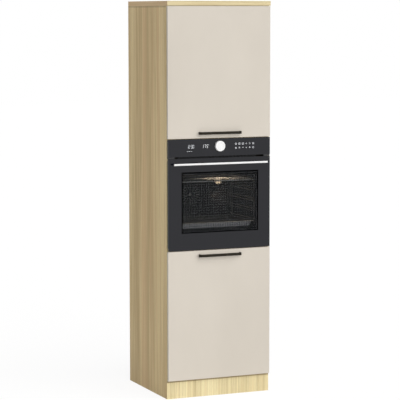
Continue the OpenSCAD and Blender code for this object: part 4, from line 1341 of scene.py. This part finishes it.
@dataclass(frozen=True)
class DigitRow:
    """A row of slanted seven-segment digits, in X and Z."""

    digits: str
    left: float
    low: float
    pitch: float
    width: float
    stroke: float
    parting: float = 0.0
    height: float = 0.0175
    slant: float = 0.08
    gap: float = 0.0005

    def shapes(self) -> list[list[Vector]]:
        """Return the outlines of all lit segments.

        Returns:
            The corners of each; the digits after the second stand a parting further right.
        """
        found = []
        for k, digit in enumerate(self.digits):
            x = self.left + k * self.pitch + (self.parting if k > 1 else 0.0)
            found += [self.shape(x, letter) for letter in SEGMENTS[digit]]
        return found

    def shape(self, x: float, letter: str) -> list[Vector]:
        """Return the outline of one segment.

        Args:
            x: The digit's left edge.
            letter: The segment's letter.

        Returns:
            Its six corners.
        """
        start, end = (
            Vector((x + u * self.width + v * self.height * self.slant, self.low + v * self.height))
            for u, v in SEGMENT_ENDS[letter]
        )
        run = (end - start).normalized()
        across = Vector((-run.y, run.x)) * self.stroke / 2
        tip = run * self.stroke / 2
        start, end = start + run * self.gap, end - run * self.gap
        return [
            start, start + tip + across, end - tip + across,
            end, end - tip - across, start + tip - across,
        ]


Stroke = tuple[list[Point], bool]


def touch_signs() -> list[list[Stroke]]:
    """Draw the twelve touch signs, each in a box from -1 to 1.

    Returns:
        The strokes of each sign: points, and whether the stroke is closed.
    """
    def line(*points: Point) -> Stroke:
        """Return an open stroke."""
        return list(points), False

    def loop(*points: Point) -> Stroke:
        """Return a closed stroke."""
        return list(points), True

    ring = loop(*arc(0, 0, 1, 0, 330, 11))
    box = loop((-1, -0.9), (1, -0.9), (1, 0.9), (-1, 0.9))
    wave = ((-1, 0.3), (-0.33, 0.75), (0.33, 0.3), (1, 0.75))
    return [
        [ring, line((0, 0.65), (0, 0), (0.45, -0.3))],
        [box, line((-0.6, 0.5), (0.6, 0.5))],
        [box, line((-0.6, -0.5), (0.6, -0.5))],
        [line((-0.9, 0), (0.9, 0)), line((0, -0.9), (0, 0.9))],
        [line(*arc(0, 0.1, 0.7, -30, 210)), line((-0.35, -0.8), (0.35, -0.8))],
        [ring, line((-0.45, 0), (0.45, 0))],
        [
            loop((-0.75, -0.9), (0.75, -0.9), (0.75, 0.1), (-0.75, 0.1)),
            line(*arc(0, 0.1, 0.5, 0, 180, 8)),
        ],
        [line(*((u, v - drop) for u, v in wave)) for drop in (0, 0.9)],
        [line((-0.9, -0.4), (0, 0.6), (0.9, -0.4))],
        [line((-0.9, 0.4), (0, -0.6), (0.9, 0.4))],
        [loop((-0.6, -0.9), (0.9, 0), (-0.6, 0.9))],
        [line(*arc(0, 0, 0.95, 120, 420)), line((0, 0.2), (0, 1.1))],
    ]


@dataclass
class ControlPanel(Assembly):
    """The glass control panel: display, touch marks, and the housing behind it."""

    glass_y: float = -0.274
    thick: float = 0.00012
    clock: DigitRow = DigitRow(
        "1230", left=-0.189, low=1.3495, pitch=0.0096, width=0.0068, stroke=0.0024, parting=0.003,
    )
    colon_r: float = 0.0009
    colon_shift: float = 0.0002
    colon_shares: Point = (0.32, 0.68)
    heat: DigitRow = DigitRow(
        "175", left=-0.101, low=1.3500, pitch=0.0125, width=0.0066, stroke=0.0015,
    )
    degree_from: Point = (0.0368, 0.0153)
    degree_r: float = 0.0014
    degree_line: float = 0.0006
    row_z: float = 1.3335
    row_line: float = 0.0024
    row_xs: tuple[Point, ...] = (
        (-0.1890, -0.1845), (-0.1805, -0.1790), (-0.1765, -0.1700), (-0.1640, -0.1605),
    )
    mark_xs: tuple[float, ...] = (0.096, 0.1165, 0.137, 0.157, 0.1775, 0.198)
    mark_zs: tuple[float, ...] = (1.367, 1.346)
    mark_r: float = 0.0046
    mark_line: float = 0.0014

    def build(self) -> None:
        """Dress the panel and add its display and marks."""
        dress(FRONT_GLASS, "control_fascia", round_mm=0.5)
        dress(BLACK_PLASTIC, "control_housing", "air_outlet", round_mm=0.4)
        self.show_clock()
        self.show_heat()
        self.print_marks()

    def draw(
        self, maker: Maker, line: Sequence[Point], width: float, closed: bool = False,
    ) -> None:
        """Add a line on the glass.

        Args:
            maker: Collects it.
            line: Its points.
            width: Its width.
            closed: Whether its end joins its start.
        """
        maker.ribbon(line, width, self.glass_y, self.thick, closed)

    def digits(self, row: DigitRow) -> Maker:
        """Start a piece with a row of digits.

        Args:
            row: The row.

        Returns:
            The maker that holds it.
        """
        maker = Maker()
        for shape in row.shapes():
            outline = [Vector((p.x, self.glass_y, p.y)) for p in shape]
            maker.solid(outline, Vector((0, -self.thick, 0)))
        return maker

    def show_clock(self) -> None:
        """Add the clock with its colon."""
        clock = self.clock
        maker = self.digits(clock)
        disc = [(self.colon_r, 0.0), (self.colon_r, self.thick)]
        x = clock.left + 2 * clock.pitch - self.colon_shift
        for share in self.colon_shares:
            at = (x, self.glass_y, clock.low + clock.height * share)
            maker.turned(disc, at, (0, -1, 0), steps=12)
        maker.place("clock_digits", CLOCK_LIGHT, "unit", "white_finish")

    def show_heat(self) -> None:
        """Add the temperature with its degree sign."""
        maker = self.digits(self.heat)
        middle = (self.heat.left + self.degree_from[0], self.heat.low + self.degree_from[1])
        self.draw(maker, arc(*middle, self.degree_r, 0, 330, 11), self.degree_line, closed=True)
        maker.place("heat_digits", HEAT_LIGHT, "unit", "white_finish")

    def print_marks(self) -> None:
        """Add the small row under the clock and the two rows of touch signs, in print with a
        painted glow.
        """
        small, signs = Maker(), Maker()
        for x0, x1 in self.row_xs:
            self.draw(small, [(x0, self.row_z), (x1, self.row_z)], self.row_line)
        small.place("display_row", GLOWING_PRINT, "unit", "white_finish")
        spots = [(x, z) for z in self.mark_zs for x in self.mark_xs]
        for (x, z), sign in zip(spots, touch_signs()):
            for line, closed in sign:
                points = [(x + u * self.mark_r, z + v * self.mark_r) for u, v in line]
                self.draw(signs, points, self.mark_line, closed)
        signs.place("touch_marks", GLOWING_PRINT, "unit", "white_finish")


@dataclass
class Knob(Assembly):
    """The white dial with its grey marks."""

    centre: Triple = (0.0, -0.2872, 1.358)
    ticks: int = 24
    inner: float = 0.0160
    outer: float = 0.0190
    shorter: float = 0.0012
    tick_line: float = 0.0007
    tick_thick: float = 0.00008

    def build(self) -> None:
        """Dress the dial and print its scale."""
        dress(WHITE, "control_knob", smooth=35.0)
        maker = Maker()
        x0, y, z0 = self.centre
        for k in range(self.ticks):
            angle = 2 * math.pi * k / self.ticks
            radii = (self.inner, self.outer - self.shorter * (k % 2))
            ends = [(x0 + math.sin(angle) * r, z0 + math.cos(angle) * r) for r in radii]
            maker.ribbon(ends, self.tick_line, y, self.tick_thick)
        maker.place("knob_scale", KNOB_PRINT, "control_knob", "white_finish")


@dataclass
class OvenDoor(Assembly):
    """The drop-down door: front glass, inner glass, profiles, hinges and bar handle."""

    def build(self) -> None:
        """Dress the door's parts."""
        dress(DOOR_GLASS, "oven_door_glass", round_mm=0.6)
        dress(CLEAR_GLASS, "oven_door_inner_glass", round_mm=0.4)
        dress(BLACK_METAL, "oven_door_columns", "oven_door_rails", round_mm=0.4)
        dress(ZINC, "oven_door_hinges")
        dress(WHITE, "oven_handle", round_mm=0.5, smooth=40.0)
        dress(POST_STEEL, "oven_handle_posts", round_mm=0.3)


@dataclass(frozen=True)
class LampLight:
    """A soft rectangle of the oven lamp's light, which itself isn't seen."""

    name: str
    at: Triple
    way: Triple
    size: Point
    power: float

    def shine(self) -> None:
        """Add the light."""
        light = bpy.data.lights.new(self.name, "AREA")
        light.energy = self.power
        light.color = BULB_LIGHT
        light.shape = "RECTANGLE"
        light.size, light.size_y = self.size
        holder = add_object(self.name, light)
        holder.location = self.at
        holder.rotation_mode = "QUATERNION"
        upright = "Z" if self.way[1] else "Y"
        holder.rotation_quaternion = Vector(self.way).to_track_quat("-Z", upright)
        holder.visible_camera = False
        holder.visible_glossy = False


@dataclass
class OvenCavity(Assembly):
    """What is behind the door: enamelled cavity, racks, tray, fan, elements and lamp."""

    cover_y: float = 0.1315
    cover_screw_x: float = 0.128
    cover_screw_dz: float = 0.128
    cover_head: ScrewHead = ScrewHead(radius=0.0042, height=0.0022)
    mid_z: float = 1.058
    lights: tuple[LampLight, ...] = (
        LampLight(
            "lamp_below", at=(0.182, 0.110, 1.043), way=(0, 1, 0), size=(0.090, 0.010), power=0.20,
        ),
        LampLight(
            "lamp_on_rack", at=(0.056, -0.110, 1.192), way=(0, 0, -1), size=(0.140, 0.050),
            power=1.3,
        ),
    )

    def build(self) -> None:
        """Dress the parts, screw the fan's cover on and light the lamp."""
        dress(BLACK_METAL, "front_frame", round_mm=0.3)
        dress(ENAMEL, "oven_cavity", smooth=35.0)
        dress(TRAY_ENAMEL, "baking_tray", smooth=35.0)
        dress(ENAMEL, "fan_cover", round_mm=0.5, smooth=35.0)
        dress(GASKET, "door_gasket", round_mm=1.2)
        dress(CHROME, "wire_rack", smooth=50.0)
        dress(USED_CHROME, "side_rack_left", "side_rack_right", smooth=50.0)
        dress(FAN_STEEL, "fan_wheel")
        dress(ELEMENT, "ring_element", "grill_element", smooth=50.0)
        dress(LAMP, "oven_lamp", smooth=40.0)
        dress(ZINC, "oven_hinge_arms")
        dress(BLACK_METAL, "oven_screws")
        maker = Maker()
        corners = [
            (x * self.cover_screw_x, self.cover_y, self.mid_z + side * self.cover_screw_dz)
            for x in (-1, 1) for side in (-1, 1)
        ]
        for k, at in enumerate(corners):
            maker.screw(self.cover_head, at, (0, -1, 0), angle=0.4 * k)
        maker.place("fan_cover_screws", SCREW_STEEL, "unit", "screw_steel")
        for light in self.lights:
            light.shine()


@dataclass
class OvenCasing(Assembly):
    """The galvanised casing with its motor, terminal box and sheet screws."""

    rear_y: float = 0.2705
    screw_x: float = 0.2685
    screw_zs: tuple[float, ...] = (0.818, 0.960, 1.100, 1.240, 1.378)
    sheet_head: ScrewHead = ScrewHead(radius=0.0038, height=0.0021)
    box_y: float = 0.2945
    box_low: Point = (-0.238, 1.300)
    box_high: Point = (-0.148, 1.360)
    box_screw_in: float = 0.009
    box_head: ScrewHead = ScrewHead(radius=0.0034, height=0.0018)

    def build(self) -> None:
        """Dress the sheets and add their screws."""
        dress(GALVANISED, "casing_left", "casing_right", "casing_top", "casing_base", "casing_rear")
        dress(ZINC, "fan_motor", round_mm=0.4)
        dress(BLACK_PLASTIC, "terminal_box", round_mm=0.8)
        maker = Maker()
        spots = [(side * self.screw_x, self.rear_y, z) for side in (-1, 1) for z in self.screw_zs]
        for k, at in enumerate(spots):
            maker.screw(self.sheet_head, at, (0, 1, 0), angle=0.7 * k)
        box_z = (self.box_low[1] + self.box_high[1]) / 2
        box_xs = (self.box_low[0] + self.box_screw_in, self.box_high[0] - self.box_screw_in)
        for k, x in enumerate(box_xs):
            maker.screw(self.box_head, (x, self.box_y, box_z), (0, 1, 0), angle=0.3 + k)
        maker.place("casing_screws", SCREW_STEEL, "unit", "screw_steel")


# ---------- Studio ----------


@dataclass
class Studio(Assembly):
    """The pale floor, the soft light and the camera."""

    camera_at: Triple = (-3.8538, -9.0512, 2.0629)
    turn_left: float = -23.0766
    look_down: float = 5.9306
    roll: float = -0.0539
    lens: float = 161.49
    sensor: float = 36.0
    white: Colour = (1.0, 1.0, 1.0)
    floor_pale: Colour = (0.84, 0.84, 0.84)
    floor_grit: Colour = (0.82, 0.82, 0.82)
    floor_half: float = 30.0
    floor_drop: float = 0.0005
    floor_glow: float = 1.09
    floor_share: float = 0.82
    ambient: float = 0.41
    key_strength: float = 2.10
    key_degrees: float = 75.0
    key_tone: Colour = (1.0, 0.995, 0.985)
    key_from: Triple = (0.55, -1.0, 0.62)

    def build(self) -> None:
        """Set up the room, the light and the camera."""
        self.floor()
        self.world()
        self.key_light()
        self.camera()

    def floor(self) -> None:
        """Add the floor, which looks white and still takes the shadow."""
        material = bpy.data.materials.new("studio_floor")
        sheet = Sheet(material)
        tone = sheet.blend(self.floor_pale, self.floor_grit, sheet.noise(30.0, detail=3.0))
        diffuse = sheet.node("ShaderNodeBsdfDiffuse", None, {"Color": tone})
        inputs = {"Color": self.white, "Strength": self.floor_glow}
        glow = sheet.node("ShaderNodeEmission", None, inputs)
        share = sheet.seen() * self.floor_share
        sheet.finish_mixed(diffuse, glow, share, "ShaderNodeOutputMaterial")
        half = self.floor_half
        data = bpy.data.meshes.new("studio_floor")
        corners = [(-half, -half, 0), (half, -half, 0), (half, half, 0), (-half, half, 0)]
        data.from_pydata(corners, [], [(0, 1, 2, 3)])
        data.materials.append(material)
        floor = add_object("studio_floor", data)
        floor.location.z = -self.floor_drop

    def world(self) -> None:
        """Make the background white and the ambient light plain."""
        world = bpy.data.worlds.new("studio")
        bpy.context.scene.world = world
        sheet = Sheet(world)
        plain, white = (
            sheet.node("ShaderNodeBackground", None, {"Color": self.white, "Strength": strength})
            for strength in (self.ambient, 1.0)
        )
        sheet.finish_mixed(plain, white, sheet.seen(), "ShaderNodeOutputWorld")

    def key_light(self) -> None:
        """Add the broad key light from the front right and above."""
        light = bpy.data.lights.new("key", "SUN")
        light.energy = self.key_strength
        light.angle = math.radians(self.key_degrees)
        light.color = self.key_tone
        holder = add_object("key", light)
        holder.rotation_mode = "QUATERNION"
        holder.rotation_quaternion = Vector(self.key_from).to_track_quat("Z", "Y")

    def camera(self) -> None:
        """Set the camera where the photograph was taken from."""
        data = bpy.data.cameras.new("camera")
        data.lens = self.lens
        data.sensor_width = self.sensor
        camera = add_object("camera", data)
        turn = (
            Matrix.Rotation(math.radians(self.turn_left), 4, "Z")
            @ Matrix.Rotation(math.radians(90 - self.look_down), 4, "X")
            @ Matrix.Rotation(math.radians(self.roll), 4, "Z")
        )
        camera.matrix_world = Matrix.Translation(self.camera_at) @ turn
        bpy.context.scene.camera = camera


def main() -> None:
    """Build every sub-assembly in order."""
    logging.basicConfig(level=logging.INFO, format="%(name)s: %(message)s")
    bpy.context.scene.view_settings.view_transform = "Standard"
    assemblies: list[Assembly] = [
        Studio(), Carcass(), Doors(), CupHinges(), OvenCasing(), OvenCavity(), OvenDoor(),
        ControlPanel(), Knob(),
    ]
    for assembly in assemblies:
        assembly.build()
        LOG.info("built %s", type(assembly).__name__)


if __name__ == "__main__":
    main()
